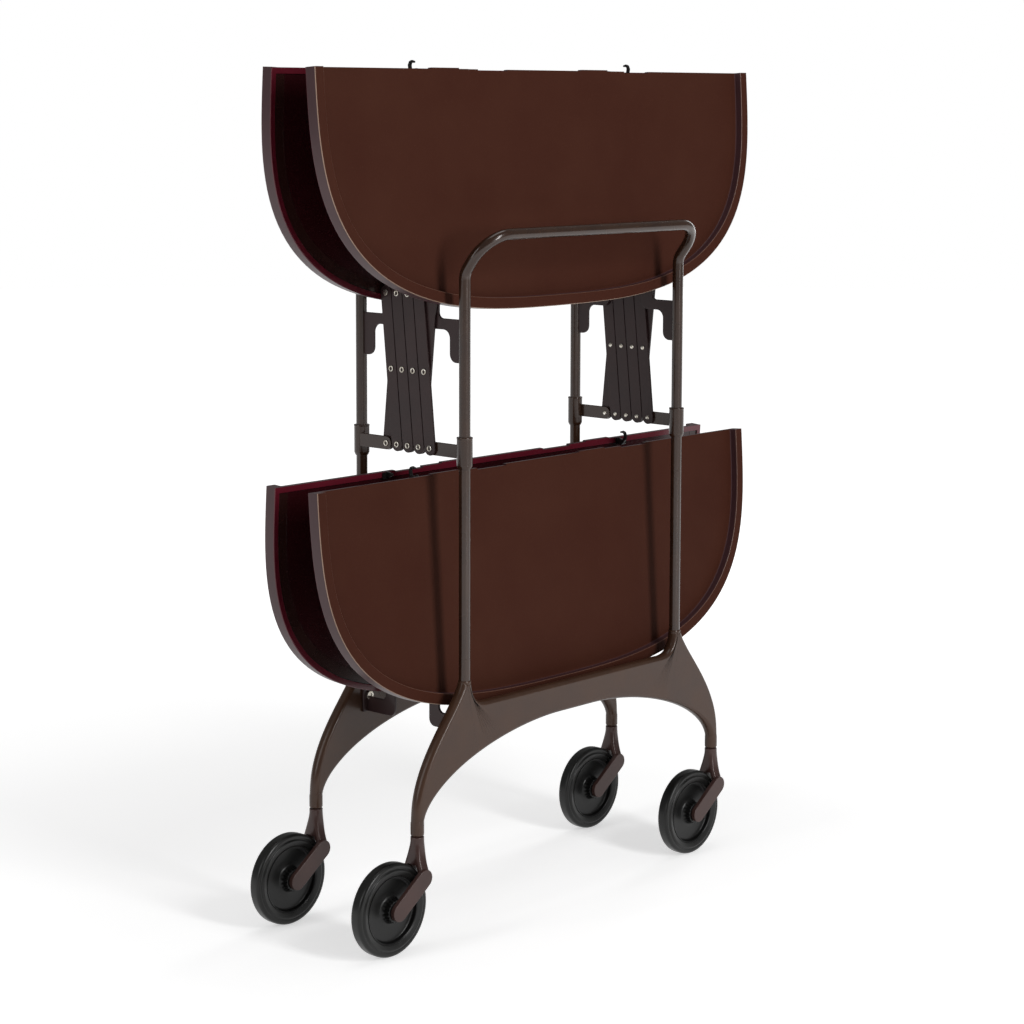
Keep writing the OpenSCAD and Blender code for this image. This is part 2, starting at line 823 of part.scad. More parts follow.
module hook_rivet() {
    hook_in = hook_x - hook_t / 2;
    translate([0, hook_pivot[0], hook_pivot[1]]) rotate([0, 90, 0]) {
        translate([0, 0, hook_in - side_gap / 2 - hook_head_t])
            cylinder(h = hook_head_t + over, r = hook_rivet_r + hook_head_out);
        translate([0, 0, hook_in - side_gap / 2])
            cylinder(h = ear_x + ear_t - hook_in + side_gap / 2, r = hook_rivet_r);
        translate([0, 0, ear_x + ear_t]) cylinder(h = hook_head_t, r = hook_ear_r);
    }
}

module catch_piece() {
    pin_in = hook_x - hook_t / 2 - side_gap;
    lip_ear(catch_at, catch_ear_r);
    translate([pin_in, catch_at[0], catch_at[1]]) rotate([0, 90, 0])
        cylinder(h = ear_x + over - pin_in, r = catch_r);
}

module fittings() {
    color(fitting_black) {
        both_sides() hinge_lug();
        mirror([1, 0, 0]) hook_mount();
        catch_piece();
    }
    color(rivet_nickel) mirror([1, 0, 0]) hook_rivet();
}

module hook() {
    mirror([1, 0, 0]) upright_plate(hook_x - hook_t / 2, hook_t) difference() {
        union() {
            translate(hook_pivot) circle(hook_boss_r);
            translate(hook_hump) circle(hook_hump_r);
            round_bar_2d(hook_pivot, hook_hump, hook_hump_r);
            round_bar_2d(hook_pivot, hook_path[0], hook_path_r[0]);
            for (i = [0:len(hook_path) - 2])
                round_bar_2d(hook_path[i], hook_path[i + 1], hook_path_r[i + 1]);
        }
        translate(hook_pivot) circle(hook_rivet_r + run_gap);
    }
}

// Places what is drawn on a leaf on the near side, at the height of its straight edge
module on_leaf(edge_z) {
    translate([0, -leaf_face_y, edge_z]) rotate([-leaf_lean, 0, 0]) children();
}

// Caster: fork with swivel pin, axle, wheel hub and tyre, trailing towards -X

module fork_arm_2d() {
    round_bar_2d([-trail, wheel_r], [knee_x, knee_z], fork_arm_w / 2);
}

module fork() {
    arm_in = fork_w / 2 - fork_arm_t;
    color(fork_bronze) difference() {
        union() {
            for (y = [arm_in, -fork_w / 2])
                translate([0, y + fork_arm_t, 0]) rotate([90, 0, 0]) linear_extrude(fork_arm_t) fork_arm_2d();
            hull() {
                translate([0, 0, flare_z]) cylinder(h = flare_h, r = stem_r, $fn = hull_fn);
                translate([-neck_back, -fork_w / 2, block_z - block_h])
                    cube([neck_back + knee_x + fork_arm_w / 2, fork_w, block_h]);
            }
            translate([0, 0, flare_z]) cylinder(h = stem_z - stem_gap - flare_z, r = stem_r);
            translate([0, 0, flare_z]) cylinder(h = stem_z - flare_z + swivel_len, r = swivel_r);
        }
        translate([-trail, arm_in, wheel_r]) rotate([90, 0, 0])
            cylinder(h = 2 * arm_in, r = wheel_r + wheel_gap);
        translate([-trail, arm_in + axle_bury, wheel_r]) rotate([90, 0, 0])
            cylinder(h = 2 * (arm_in + axle_bury), r = axle_r + fix_gap);
    }
}

module axle() {
    half = fork_w / 2 - fork_arm_t + axle_bury - fix_gap;
    color(rivet_nickel) translate([-trail, half, wheel_r]) rotate([90, 0, 0]) cylinder(h = 2 * half, r = axle_r);
}

module wheel_hub() {
    half = fork_w / 2 - fork_arm_t - hub_gap;
    color(wheel_black) translate([-trail, 0, wheel_r]) rotate([90, 0, 0]) difference() {
        union() {
            cylinder(h = web_w, r = wheel_r - tyre_depth, center = true);
            cylinder(h = 2 * half, r = hub_r, center = true);
        }
        cylinder(h = 2 * (half + past), r = axle_r + run_gap, center = true);
    }
}

module tyre() {
    r_in = wheel_r - tyre_depth;
    color(tyre_black) translate([-trail, 0, wheel_r]) rotate([90, 0, 0]) rotate_extrude() {
        translate([r_in, -tyre_w / 2]) square([tyre_depth - tyre_round, tyre_w]);
        translate([r_in, -tyre_w / 2 + tyre_round]) square([tyre_depth, tyre_w - 2 * tyre_round]);
        for (s = [-1, 1]) translate([wheel_r - tyre_round, s * (tyre_w / 2 - tyre_round)]) circle(tyre_round);
    }
}

module at_stem(side, row) {
    translate([side * stem_x, row * frame_y, 0]) children();
}

handle_tube();  // near_handle_tube
leg_casting();  // near_leg_casting
upper_brackets();  // near_upper_brackets
lower_brackets();  // near_lower_brackets
frame_fasteners();  // near_frame_fasteners
sleeves();  // near_sleeves
link_pair(0, 1);  // near_top_links
link_pair(1, 0);  // near_foot_links
link_pair(2, 1);  // near_mid_links_a
link_pair(1, 2);  // near_mid_links_b
top_rivets();  // near_top_rivets
foot_rivets();  // near_foot_rivets
mid_rivets_a();  // near_mid_rivets_a
mid_rivets_b();  // near_mid_rivets_b
color(tray_brown) on_leaf(upper_edge_z) leaf();  // near_upper_leaf
on_leaf(upper_edge_z) fittings();  // near_upper_fittings
color(fitting_black) on_leaf(upper_edge_z) hook();  // near_upper_hook
color(tray_brown) on_leaf(lower_edge_z) leaf();  // near_lower_leaf
on_leaf(lower_edge_z) fittings();  // near_lower_fittings
color(fitting_black) on_leaf(lower_edge_z) hook();  // near_lower_hook
at_stem(-1, -1) fork();  // near_left_fork
at_stem(-1, -1) axle();  // near_left_axle
at_stem(-1, -1) wheel_hub();  // near_left_hub
at_stem(-1, -1) tyre();  // near_left_tyre
at_stem(1, -1) fork();  // near_right_fork
at_stem(1, -1) axle();  // near_right_axle
at_stem(1, -1) wheel_hub();  // near_right_hub
at_stem(1, -1) tyre();  // near_right_tyre
half_turn() handle_tube();  // far_handle_tube
half_turn() leg_casting();  // far_leg_casting
half_turn() upper_brackets();  // far_upper_brackets
half_turn() lower_brackets();  // far_lower_brackets
half_turn() frame_fasteners();  // far_frame_fasteners
half_turn() sleeves();  // far_sleeves
half_turn() link_pair(0, 1);  // far_top_links
half_turn() link_pair(1, 0);  // far_foot_links
half_turn() link_pair(2, 1);  // far_mid_links_a
half_turn() link_pair(1, 2);  // far_mid_links_b
half_turn() top_rivets();  // far_top_rivets
half_turn() foot_rivets();  // far_foot_rivets
half_turn() mid_rivets_a();  // far_mid_rivets_a
half_turn() mid_rivets_b();  // far_mid_rivets_b
half_turn() color(tray_brown) on_leaf(upper_edge_z) leaf();  // far_upper_leaf
half_turn() on_leaf(upper_edge_z) fittings();  // far_upper_fittings
half_turn() color(fitting_black) on_leaf(upper_edge_z) hook();  // far_upper_hook
half_turn() color(tray_brown) on_leaf(lower_edge_z) leaf();  // far_lower_leaf
half_turn() on_leaf(lower_edge_z) fittings();  // far_lower_fittings
half_turn() color(fitting_black) on_leaf(lower_edge_z) hook();  // far_lower_hook
at_stem(-1, 1) fork();  // far_left_fork
at_stem(-1, 1) axle();  // far_left_axle
at_stem(-1, 1) wheel_hub();  // far_left_hub
at_stem(-1, 1) tyre();  // far_left_tyre
at_stem(1, 1) fork();  // far_right_fork
at_stem(1, 1) axle();  // far_right_axle
at_stem(1, 1) wheel_hub();  // far_right_hub
at_stem(1, 1) tyre();  // far_right_tyre
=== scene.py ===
import json
import math
import bmesh
import bpy
import numpy as np
from mathutils import Matrix, Vector


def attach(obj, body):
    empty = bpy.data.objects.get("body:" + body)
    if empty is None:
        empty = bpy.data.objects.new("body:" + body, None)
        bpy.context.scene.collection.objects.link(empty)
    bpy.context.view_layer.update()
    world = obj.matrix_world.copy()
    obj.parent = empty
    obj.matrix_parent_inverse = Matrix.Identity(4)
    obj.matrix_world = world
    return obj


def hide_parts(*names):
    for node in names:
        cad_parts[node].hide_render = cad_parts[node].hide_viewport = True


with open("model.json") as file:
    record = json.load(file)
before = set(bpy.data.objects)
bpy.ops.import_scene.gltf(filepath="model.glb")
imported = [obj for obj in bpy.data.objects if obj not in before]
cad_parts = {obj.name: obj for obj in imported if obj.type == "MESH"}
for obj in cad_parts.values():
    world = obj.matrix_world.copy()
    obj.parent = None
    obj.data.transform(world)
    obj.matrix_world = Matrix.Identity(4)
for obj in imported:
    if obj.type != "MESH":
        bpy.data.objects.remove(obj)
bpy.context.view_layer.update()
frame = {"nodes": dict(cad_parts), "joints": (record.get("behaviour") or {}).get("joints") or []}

# Folding serving trolley, shown folded: two bent tubes on cast legs, four D-shaped tray leaves
# Sizes below are millimetres, x along the leaves, y across the fold, z up from the floor

mm = 0.001
nodes = frame["nodes"]
pivots = {joint["name"]: np.array(joint["pos_m"]) / mm for joint in frame["joints"]}


# Camera, floor and lights

def hexColour(text):
    """sRGB hex to the linear values that shaders take."""
    parts = np.array([int(text[i:i + 2], 16) for i in (1, 3, 5)]) / 255
    linear = np.where(parts <= 0.04045, parts / 12.92, ((parts + 0.055) / 1.055) ** 2.4)
    return (*linear.tolist(), 1.0)


def addNode(tree, kind, values=None, links=None, **settings):
    """Adds one shader node, sets its options and sockets, and joins its inputs."""
    node = tree.nodes.new(kind)
    for key, value in settings.items():
        setattr(node, key, value)
    for socket, value in (values or {}).items():
        node.inputs[socket].default_value = value
    for socket, source in (links or {}).items():
        tree.links.new(source, node.inputs[socket])
    return node


def ramp(tree, value, span, to):
    """Carries a value from one span to another, held at the ends."""
    node = addNode(tree, "ShaderNodeMapRange", {1: span[0], 2: span[1], 3: to[0], 4: to[1]}, {0: value})
    return node.outputs[0]


def makeCamera():
    """The photo's view, solved from the object's points: lens in mm, place in m, turns in degrees."""
    view = {"lens": 88.47, "shift": -0.12, "place": (-2.0308, -1.8429, 0.8666), "yaw": 47.493,
            "pitch": 6.559, "roll": -0.157}
    data = bpy.data.cameras.new("camera")
    data.lens = view["lens"]
    data.sensor_width = 36
    data.shift_y = view["shift"]
    camera = bpy.data.objects.new("camera", data)
    camera.location = view["place"]
    camera.rotation_euler = [math.radians(a) for a in (90 - view["pitch"], view["roll"], -view["yaw"])]
    bpy.context.scene.collection.objects.link(camera)
    bpy.context.scene.camera = camera


def makeLamp(name, place, size, power):
    """Soft box: a rectangular lamp that faces the object. Metres and watts."""
    data = bpy.data.lights.new(name, "AREA")
    data.shape = "RECTANGLE"
    data.size, data.size_y = size
    data.energy = power
    lamp = bpy.data.objects.new(name, data)
    lamp.location = place
    lamp.rotation_euler = (Vector(lampAim) - Vector(place)).to_track_quat("-Z", "Y").to_euler()
    lamp.visible_camera = False
    bpy.context.scene.collection.objects.link(lamp)


def isShown(tree, *kinds):
    """1 where the ray is one of the named kinds, from Light Path."""
    path = addNode(tree, "ShaderNodeLightPath")
    seen = path.outputs[kinds[0]]
    for kind in kinds[1:]:
        step = addNode(tree, "ShaderNodeMath", links={0: seen, 1: path.outputs[kind]}, operation="MAXIMUM")
        seen = step.outputs[0]
    return seen


def makeWorld():
    """White behind the object, and a dim even room for the light that reaches it."""
    roomLight = 0.22
    world = bpy.data.worlds.new("studio")
    bpy.context.scene.world = world
    world.use_nodes = True
    tree = world.node_tree
    tree.nodes.clear()
    white = hexColour("#ffffff")
    room = addNode(tree, "ShaderNodeBackground", {"Color": white, "Strength": roomLight})
    behind = addNode(tree, "ShaderNodeBackground", {"Color": white, "Strength": 1.0})
    seen = isShown(tree, "Is Camera Ray")
    mix = addNode(tree, "ShaderNodeMixShader", links={0: seen, 1: room.outputs[0], 2: behind.outputs[0]})
    addNode(tree, "ShaderNodeOutputWorld", links={"Surface": mix.outputs[0]})


def makeFloor():
    """Pale sheet: white to the camera and to reflections, with the object's soft shadow kept."""
    sheet = {"radius": 9000, "sides": 64, "near": 450, "far": 1900, "lift": 0.5, "farLift": 0.9}
    angle = np.linspace(0, 2 * np.pi, sheet["sides"], endpoint=False)
    ring = np.stack([np.cos(angle), np.sin(angle), angle * 0], -1) * sheet["radius"] * mm
    mesh = bpy.data.meshes.new("floor")
    mesh.from_pydata(ring.tolist(), [], [list(range(sheet["sides"]))])
    floor = bpy.data.objects.new("floor", mesh)
    bpy.context.scene.collection.objects.link(floor)
    paper = bpy.data.materials.new("backgroundPaper")     # matt white background paper
    paper.use_nodes = True
    tree = paper.node_tree
    tree.nodes.clear()
    diffuse = addNode(tree, "ShaderNodeBsdfDiffuse", {"Color": hexColour("#e9e9e9")})
    place = addNode(tree, "ShaderNodeTexCoord").outputs["Object"]
    away = addNode(tree, "ShaderNodeVectorMath", links={0: place}, operation="LENGTH").outputs["Value"]
    lift = ramp(tree, away, (sheet["near"] * mm, sheet["far"] * mm), (sheet["lift"], sheet["farLift"]))
    glow = addNode(tree, "ShaderNodeEmission", {"Color": hexColour("#ffffff")}, {"Strength": lift})
    lit = addNode(tree, "ShaderNodeAddShader", links={0: diffuse.outputs[0], 1: glow.outputs[0]})
    seen = isShown(tree, "Is Camera Ray", "Is Glossy Ray", "Is Transmission Ray")
    mix = addNode(tree, "ShaderNodeMixShader", links={0: seen, 1: diffuse.outputs[0], 2: lit.outputs[0]})
    addNode(tree, "ShaderNodeOutputMaterial", links={"Surface": mix.outputs[0]})
    mesh.materials.append(paper)


lampAim = (0, 0, 0.45)
lamps = {
    "keyBox": ((-0.1, -2.6, 1.4), (0.5, 1.8), 44),
    "leftBox": ((-2.6, 0.5, 1.3), (0.8, 1.6), 13),
    "rightBox": ((2.6, 0.6, 1.2), (0.6, 1.6), 10),
    "topBox": ((0.0, 0.0, 2.9), (1.8, 0.8), 10),
}
makeCamera()
makeWorld()
makeFloor()
for lampName, setting in lamps.items():
    makeLamp(lampName, *setting)
bpy.context.scene.view_settings.view_transform = "Standard"
print("camera, floor and lights in place")


# Materials

def startMaterial(name):
    """New material with its output, a Principled shader and object coordinates in metres."""
    material = bpy.data.materials.new(name)
    material.use_nodes = True
    tree = material.node_tree
    tree.nodes.clear()
    shader = addNode(tree, "ShaderNodeBsdfPrincipled")
    addNode(tree, "ShaderNodeOutputMaterial", links={"Surface": shader.outputs[0]})
    place = addNode(tree, "ShaderNodeTexCoord").outputs["Object"]
    return material, tree, shader, place


def noiseField(tree, place, cell, detail, roughness=0.5, stretch=None):
    """Noise whose blotches are about one cell, in millimetres, across."""
    if stretch:
        place = addNode(tree, "ShaderNodeMapping", {"Scale": stretch}, {"Vector": place}).outputs[0]
    values = {"Scale": 1 / (cell * mm), "Detail": detail, "Roughness": roughness}
    return addNode(tree, "ShaderNodeTexNoise", values, {"Vector": place}).outputs["Fac"]


def mixColours(tree, value, first, second):
    """Mix of two hex colours, or of a colour that is already a socket."""
    node = addNode(tree, "ShaderNodeMix", data_type="RGBA")
    tree.links.new(value, node.inputs["Factor"])
    for socket, colour in ((node.inputs[6], first), (node.inputs[7], second)):
        if isinstance(colour, str):
            socket.default_value = hexColour(colour)
        else:
            tree.links.new(colour, socket)
    return node.outputs[2]


def bump(tree, height, depth, strength, under=None):
    """Bump whose full height is depth millimetres, over another bump if one is given."""
    links = {"Height": height}
    if under:
        links["Normal"] = under
    values = {"Strength": strength, "Distance": depth * mm}
    return addNode(tree, "ShaderNodeBump", values, links).outputs[0]


def joinShader(tree, shader, colour, roughness, normal, values):
    """Joins what varies to the Principled shader, and sets what is even."""
    for socket, source in (("Base Color", colour), ("Roughness", roughness), ("Normal", normal)):
        tree.links.new(source, shader.inputs[socket])
    for socket, value in values.items():
        shader.inputs[socket].default_value = value


def grainedPlastic(name, look):
    """Plastic moulded on a spark-eroded tool: even fine pits, pale flecks, and a slow cloudiness."""
    material, tree, shader, place = startMaterial(name)
    clouds = noiseField(tree, place, look["cloud"], 3)
    pits = noiseField(tree, place, look["pit"], 2, 0.6)
    flecks = noiseField(tree, place, look["fleck"], 1)
    base = mixColours(tree, ramp(tree, clouds, midNoise, (0, 1)), look["deep"], look["pale"])
    shown = ramp(tree, flecks, look["fleckSpan"], (0, look["fleckShow"]))
    joinShader(tree, shader, mixColours(tree, shown, base, look["dust"]),
               ramp(tree, pits, midNoise, (look["smooth"], look["rough"])),
               bump(tree, pits, look["pitDepth"], look["pitShow"]),
               {"IOR": 1.49, "Specular IOR Level": look["shine"]})
    return material


def stoveEnamel(name, look):
    """Enamel baked on steel: a clear coat over orange peel, fine dark specks, and a slow cloudiness."""
    material, tree, shader, place = startMaterial(name)
    peel = noiseField(tree, place, look["peel"], 1, 0.4)
    clouds = noiseField(tree, place, look["cloud"], 3)
    specks = noiseField(tree, place, look["speck"], 2, 0.7)
    base = mixColours(tree, ramp(tree, clouds, midNoise, (0, 1)), look["deep"], look["pale"])
    shown = ramp(tree, specks, look["speckSpan"], (0, look["speckShow"]))
    joinShader(tree, shader, mixColours(tree, shown, base, look["speckColour"]),
               ramp(tree, clouds, midNoise, (look["smooth"], look["rough"])),
               bump(tree, specks, look["speckDepth"], 0.5, bump(tree, peel, look["peelDepth"], 0.6)),
               {"Metallic": look["metallic"], "Coat Weight": look["coat"],
                "Coat Roughness": look["coatRough"], "IOR": 1.5, "Specular IOR Level": look["shine"]})
    return material


def platedNickel(name):
    """Nickel-plated steel, turned on a lathe: bright, with fine rings and a slight yellow tarnish."""
    look = {"bright": "#d2cec6", "tarnish": "#a39a8b", "cloud": 3.0, "cloudSpan": (0.35, 0.7),
            "line": 0.25, "lineDepth": 0.02, "smooth": 0.18, "rough": 0.36}
    material, tree, shader, place = startMaterial(name)
    clouds = noiseField(tree, place, look["cloud"], 3)
    lines = noiseField(tree, place, look["line"], 2, 0.6, (0.2, 1, 1))
    base = mixColours(tree, ramp(tree, clouds, look["cloudSpan"], (0, 1)), look["bright"], look["tarnish"])
    joinShader(tree, shader, base, ramp(tree, lines, midNoise, (look["smooth"], look["rough"])),
               bump(tree, lines, look["lineDepth"], 0.4), {"Metallic": 1.0})
    return material


def blackRubber(name):
    """Moulded rubber tyre: dull, with a grey bloom and fine dust on the tread."""
    look = {"deep": "#0f0f0e", "bloom": "#181817", "dust": "#282725", "cloud": 14.0,
            "cloudSpan": (0.3, 0.75), "pore": 0.6, "poreSpan": (0.62, 0.8), "poreShow": 0.35,
            "poreDepth": 0.05, "smooth": 0.26, "rough": 0.4, "shine": 0.36}
    material, tree, shader, place = startMaterial(name)
    clouds = noiseField(tree, place, look["cloud"], 3)
    pores = noiseField(tree, place, look["pore"], 3, 0.7)
    base = mixColours(tree, ramp(tree, clouds, look["cloudSpan"], (0, 1)), look["deep"], look["bloom"])
    shown = ramp(tree, pores, look["poreSpan"], (0, look["poreShow"]))
    joinShader(tree, shader, mixColours(tree, shown, base, look["dust"]),
               ramp(tree, clouds, midNoise, (look["smooth"], look["rough"])),
               bump(tree, pores, look["poreDepth"], 0.3), {"Specular IOR Level": look["shine"]})
    return material


midNoise = (0.3, 0.7)     # where most of a noise field's values lie
trayLook = {"deep": "#402118", "pale": "#45261c", "dust": "#533228", "cloud": 90.0, "pit": 0.9,
            "fleck": 1.6, "fleckSpan": (0.6, 0.8), "fleckShow": 0.3, "smooth": 0.5, "rough": 0.66,
            "pitDepth": 0.08, "pitShow": 0.3, "shine": 0.05}
# walls: a satin finish, with a painted reflection as their purple-grey tint
wallSheenLook = dict(trayLook, deep="#452c2f", pale="#4c3235", fleckShow=0.1, smooth=0.34, rough=0.42,
                pitShow=0.08, shine=0.35)
# outer arris: a pale colour that is a painted highlight
edgeHighlightLook = dict(trayLook, deep="#937967", pale="#a08573", dust="#b8a08e", smooth=0.24, rough=0.34,
                shine=0.5)
# inner arris: a lighter colour that is a painted highlight
lineHighlightLook = dict(trayLook, deep="#5f4033", pale="#6a493b", smooth=0.28, rough=0.36, shine=0.5)
rimLook = dict(trayLook, deep="#571320", pale="#641a28", dust="#76303c", fleckShow=0.1, smooth=0.2,
               rough=0.28, pitShow=0.05, shine=0.5)
# groove and floor underside, darker than the rim's foot: painted shade
grooveShadeLook = dict(rimLook, deep="#2a1412", pale="#321a17", dust="#40201c", shine=0.4)
underShadeLook = dict(rimLook, deep="#2a090d", pale="#340d12", dust="#44161c", shine=0.4)
wheelLook = dict(trayLook, deep="#0c0c0c", pale="#121211", dust="#1b1b1a", cloud=25.0, pit=0.8,
                 smooth=0.28, rough=0.4, pitShow=0.12, shine=0.35, fleckShow=0.15)
tubeLook = {"deep": "#2e1c12", "pale": "#372317", "speckColour": "#21140c", "cloud": 35.0, "peel": 2.2,
            "speck": 0.7, "speckSpan": (0.66, 0.8), "speckShow": 0.5, "smooth": 0.24, "rough": 0.3,
            "peelDepth": 0.05, "speckDepth": 0.01, "metallic": 0.1, "coat": 0.5, "coatRough": 0.1,
            "shine": 0.25}
castLook = dict(tubeLook, deep="#3c271b", pale="#452e20", peel=3.2, peelDepth=0.1, speck=0.9,
                speckDepth=0.03, smooth=0.32, rough=0.42, coat=0.3, coatRough=0.18)
stripLook = dict(tubeLook, deep="#2d1d1d", pale="#352424", peel=1.6, smooth=0.36, rough=0.46, coat=0.15)
forkLook = dict(castLook, deep="#3c2824", pale="#46302c", speckColour="#291b18")
stampLook = dict(stripLook, deep="#141111", pale="#1b1716", speckColour="#2c2521", smooth=0.3, rough=0.42)
finishes = {
    # matt brown top with a fine grain
    "trayFace": grainedPlastic("grainedPolypropylene", trayLook),
    # the same plastic from a polished tool: satin walls, with their purple-grey tint a painted reflection
    "trayWallSheen": grainedPlastic("sheenedSatinPolypropylene", wallSheenLook),
    # outer arris of the rim, painted pale: a painted highlight
    "trayEdgeHighlight": grainedPlastic("highlitEdgePolypropylene", edgeHighlightLook),
    # inner arris of the rim, painted lighter: a painted highlight
    "trayLineHighlight": grainedPlastic("highlitLinePolypropylene", lineHighlightLook),
    # recess beside the rim, seen from below, darkened as painted shade
    "trayGrooveShade": grainedPlastic("shadedGrooveGlossPolypropylene", grooveShadeLook),
    # the rim's glossy foot, wine red, seen from below
    "trayRim": grainedPlastic("wineGlossPolypropylene", rimLook),
    # the thin floor from below: nearly black, painted shade
    "trayBackShade": grainedPlastic("shadedUnderGlossPolypropylene", underShadeLook),
    # bronze enamel baked on drawn tube
    "tube": stoveEnamel("stoveEnamelTube", tubeLook),
    # the same enamel over a cast skin, with more peel
    "cast": stoveEnamel("stoveEnamelCasting", castLook),
    # darker brown enamel on steel strip
    "strip": stoveEnamel("stoveEnamelStrip", stripLook),
    # redder bronze on die-cast forks
    "fork": stoveEnamel("stoveEnamelFork", forkLook),
    # near-black enamel on small stampings
    "stamp": stoveEnamel("blackEnamelStamping", stampLook),
    # plated rivets, pins and axles
    "nickel": platedNickel("nickelPlate"),
    # moulded wheel centres, with a slight gloss
    "wheel": grainedPlastic("blackNylon", wheelLook),
    # moulded rubber tread
    "tyre": blackRubber("blackRubber"),
}
print("materials made:", len(finishes))


# Shells: a shell is its points, in millimetres, and a list of face arrays

def gridShell(points, closeColumns=False):
    """Quads between neighbouring rows and columns of a grid of points."""
    index = np.arange(points.shape[0] * points.shape[1]).reshape(points.shape[:2])
    here, there = index[:-1], index[1:]
    if closeColumns:
        corners = (here, np.roll(here, -1, 1), np.roll(there, -1, 1), there)
    else:
        corners = (here[:, :-1], here[:, 1:], there[:, 1:], there[:, :-1])
    return points.reshape(-1, 3), [np.stack(corners, -1).reshape(-1, 4)]


def joinShells(*shells):
    """One shell that holds them all, each with its own points."""
    points, faces, start = [], [], 0
    for shellPoints, shellFaces in shells:
        points.append(shellPoints)
        faces += [block + start for block in shellFaces]
        start += len(shellPoints)
    return np.concatenate(points), faces


def turnHalf(shell):
    """The same shell turned 180 degrees about the upright axis: x and y change sign."""
    return shell[0] * (-1, -1, 1), shell[1]


def mirrorAcross(shell):
    """Mirror image in x, with its faces turned back outwards."""
    return shell[0] * (-1, 1, 1), [block[:, ::-1] for block in shell[1]]


def lathe(profile, centre, axis, sides):
    """Turned form: centre + r (cos a, sin a) across the axis + h along it, for each (r, h)."""
    angle = np.linspace(0, 2 * np.pi, sides, endpoint=False)
    r, h = np.asarray(profile, float).T
    ring = np.stack([np.outer(r, np.cos(angle)), np.outer(r, np.sin(angle)), np.outer(h, angle ** 0)], -1)
    order = {"z": (0, 1, 2), "x": (2, 0, 1), "y": (1, 2, 0)}[axis]
    return gridShell(ring[..., order] + np.asarray(centre, float), closeColumns=True)


def arcPoints(centre, r, start, end, count=9):
    """Points on a circle's arc, angles in degrees: centre + r (cos, sin)."""
    angle = np.radians(np.linspace(start, end, count))
    return np.asarray(centre) + r * np.stack([np.cos(angle), np.sin(angle)], -1)


def outwardNormals(outline):
    """Mitred normals of a closed outline that runs anticlockwise."""
    ahead = np.roll(outline, -1, 0) - outline
    ahead = ahead / np.linalg.norm(ahead, axis=1, keepdims=True)
    side = np.stack([ahead[:, 1], -ahead[:, 0]], -1)
    both = side + np.roll(side, 1, 0)
    return both * 2 / np.maximum((both ** 2).sum(1, keepdims=True), 0.5)


def signedArea(outline):
    """Twice the area inside an outline, positive when it runs anticlockwise."""
    x, y = outline.T
    return (x * np.roll(y, -1) - np.roll(x, -1) * y).sum()


def cleanOutline(outline):
    """The outline without repeated points, run anticlockwise."""
    outline = np.asarray(outline, float)
    step = np.linalg.norm(outline - np.roll(outline, 1, 0), axis=1)
    outline = outline[step > 0.01]
    return outline if signedArea(outline) > 0 else outline[::-1]


def plate(outline, low, high, edge, steps=3):
    """Flat bar in the y z plane from x = low to high. The outline is drawn in by e (1 - sin a) at depth
    e (1 - cos a) from each face, so the edge is a quarter round of radius e."""
    outline = cleanOutline(outline)
    angle = np.linspace(0, np.pi / 2, steps + 1)
    inset, depth = edge * (1 - np.sin(angle)), edge * (1 - np.cos(angle))
    insets = np.concatenate([inset, inset[::-1]])
    levels = np.concatenate([low + depth, (high - depth)[::-1]])
    flat = outline[None] - insets[:, None, None] * outwardNormals(outline)[None]
    rings = np.concatenate([np.broadcast_to(levels[:, None, None], (*flat.shape[:2], 1)), flat], -1)
    points, faces = gridShell(rings, closeColumns=True)
    count = len(outline)
    caps = np.stack([np.arange(count)[::-1], np.arange(count) + len(points) - count])
    return points, faces + [caps]


def roundBar(start, end, r, count):
    """Outline of a bar with round ends between two points."""
    start, end = np.asarray(start, float), np.asarray(end, float)
    along = math.degrees(math.atan2(*(end - start)[::-1]))
    return np.concatenate([arcPoints(start, r, along + 90, along + 270, count),
                           arcPoints(end, r, along - 90, along + 90, count)])


def smoothStep(value, low, high):
    """0 below low, 1 above high, and an even S between."""
    t = np.clip((value - low) / (high - low), 0, 1)
    return t * t * (3 - 2 * t)


def shellMesh(name, shell):
    """Mesh of a shell, in metres."""
    mesh = bpy.data.meshes.new(name)
    faces = [face for block in shell[1] for face in block.tolist()]
    mesh.from_pydata((shell[0] * mm).tolist(), [], faces)
    return mesh


def cleanMesh(mesh, merge, slivers=None, flat=None):
    """Merges points closer than merge, drops slivers thinner than that many millimetres, makes faces
    whole that lie within flat degrees of one plane, and turns all faces outwards."""
    work = bmesh.new()
    work.from_mesh(mesh)
    bmesh.ops.remove_doubles(work, verts=work.verts, dist=merge * mm)
    if slivers:
        bmesh.ops.dissolve_degenerate(work, edges=work.edges, dist=slivers * mm)
    if flat:
        bmesh.ops.dissolve_limit(work, angle_limit=math.radians(flat), verts=work.verts, edges=work.edges)
    bmesh.ops.recalc_face_normals(work, faces=work.faces)
    work.to_mesh(mesh)
    work.free()


def finishPiece(name, mesh, finish, body, stands, bevel=None, smoothUnder=40):
    """Cleans the mesh, gives it its material, makes edges sharp past an angle, rounds them if asked,
    and hangs the piece on its body in place of the CAD node."""
    cleanMesh(mesh, 0.004)
    mesh.shade_smooth()
    mesh.set_sharp_from_angle(angle=math.radians(smoothUnder))
    piece = bpy.data.objects.new(name, mesh)
    bpy.context.scene.collection.objects.link(piece)
    for material in [finish] if isinstance(finish, str) else finish:
        mesh.materials.append(finishes[material])
    if bevel:
        soften = piece.modifiers.new("edge", "BEVEL")
        soften.width = bevel["width"] * mm
        soften.segments = 2
        soften.limit_method = "ANGLE"
        soften.angle_limit = math.radians(bevel["angle"])
        soften.harden_normals = True
    evened = piece.modifiers.new("evened", "WEIGHTED_NORMAL")
    evened.keep_sharp = True
    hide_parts(stands)
    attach(piece, body)


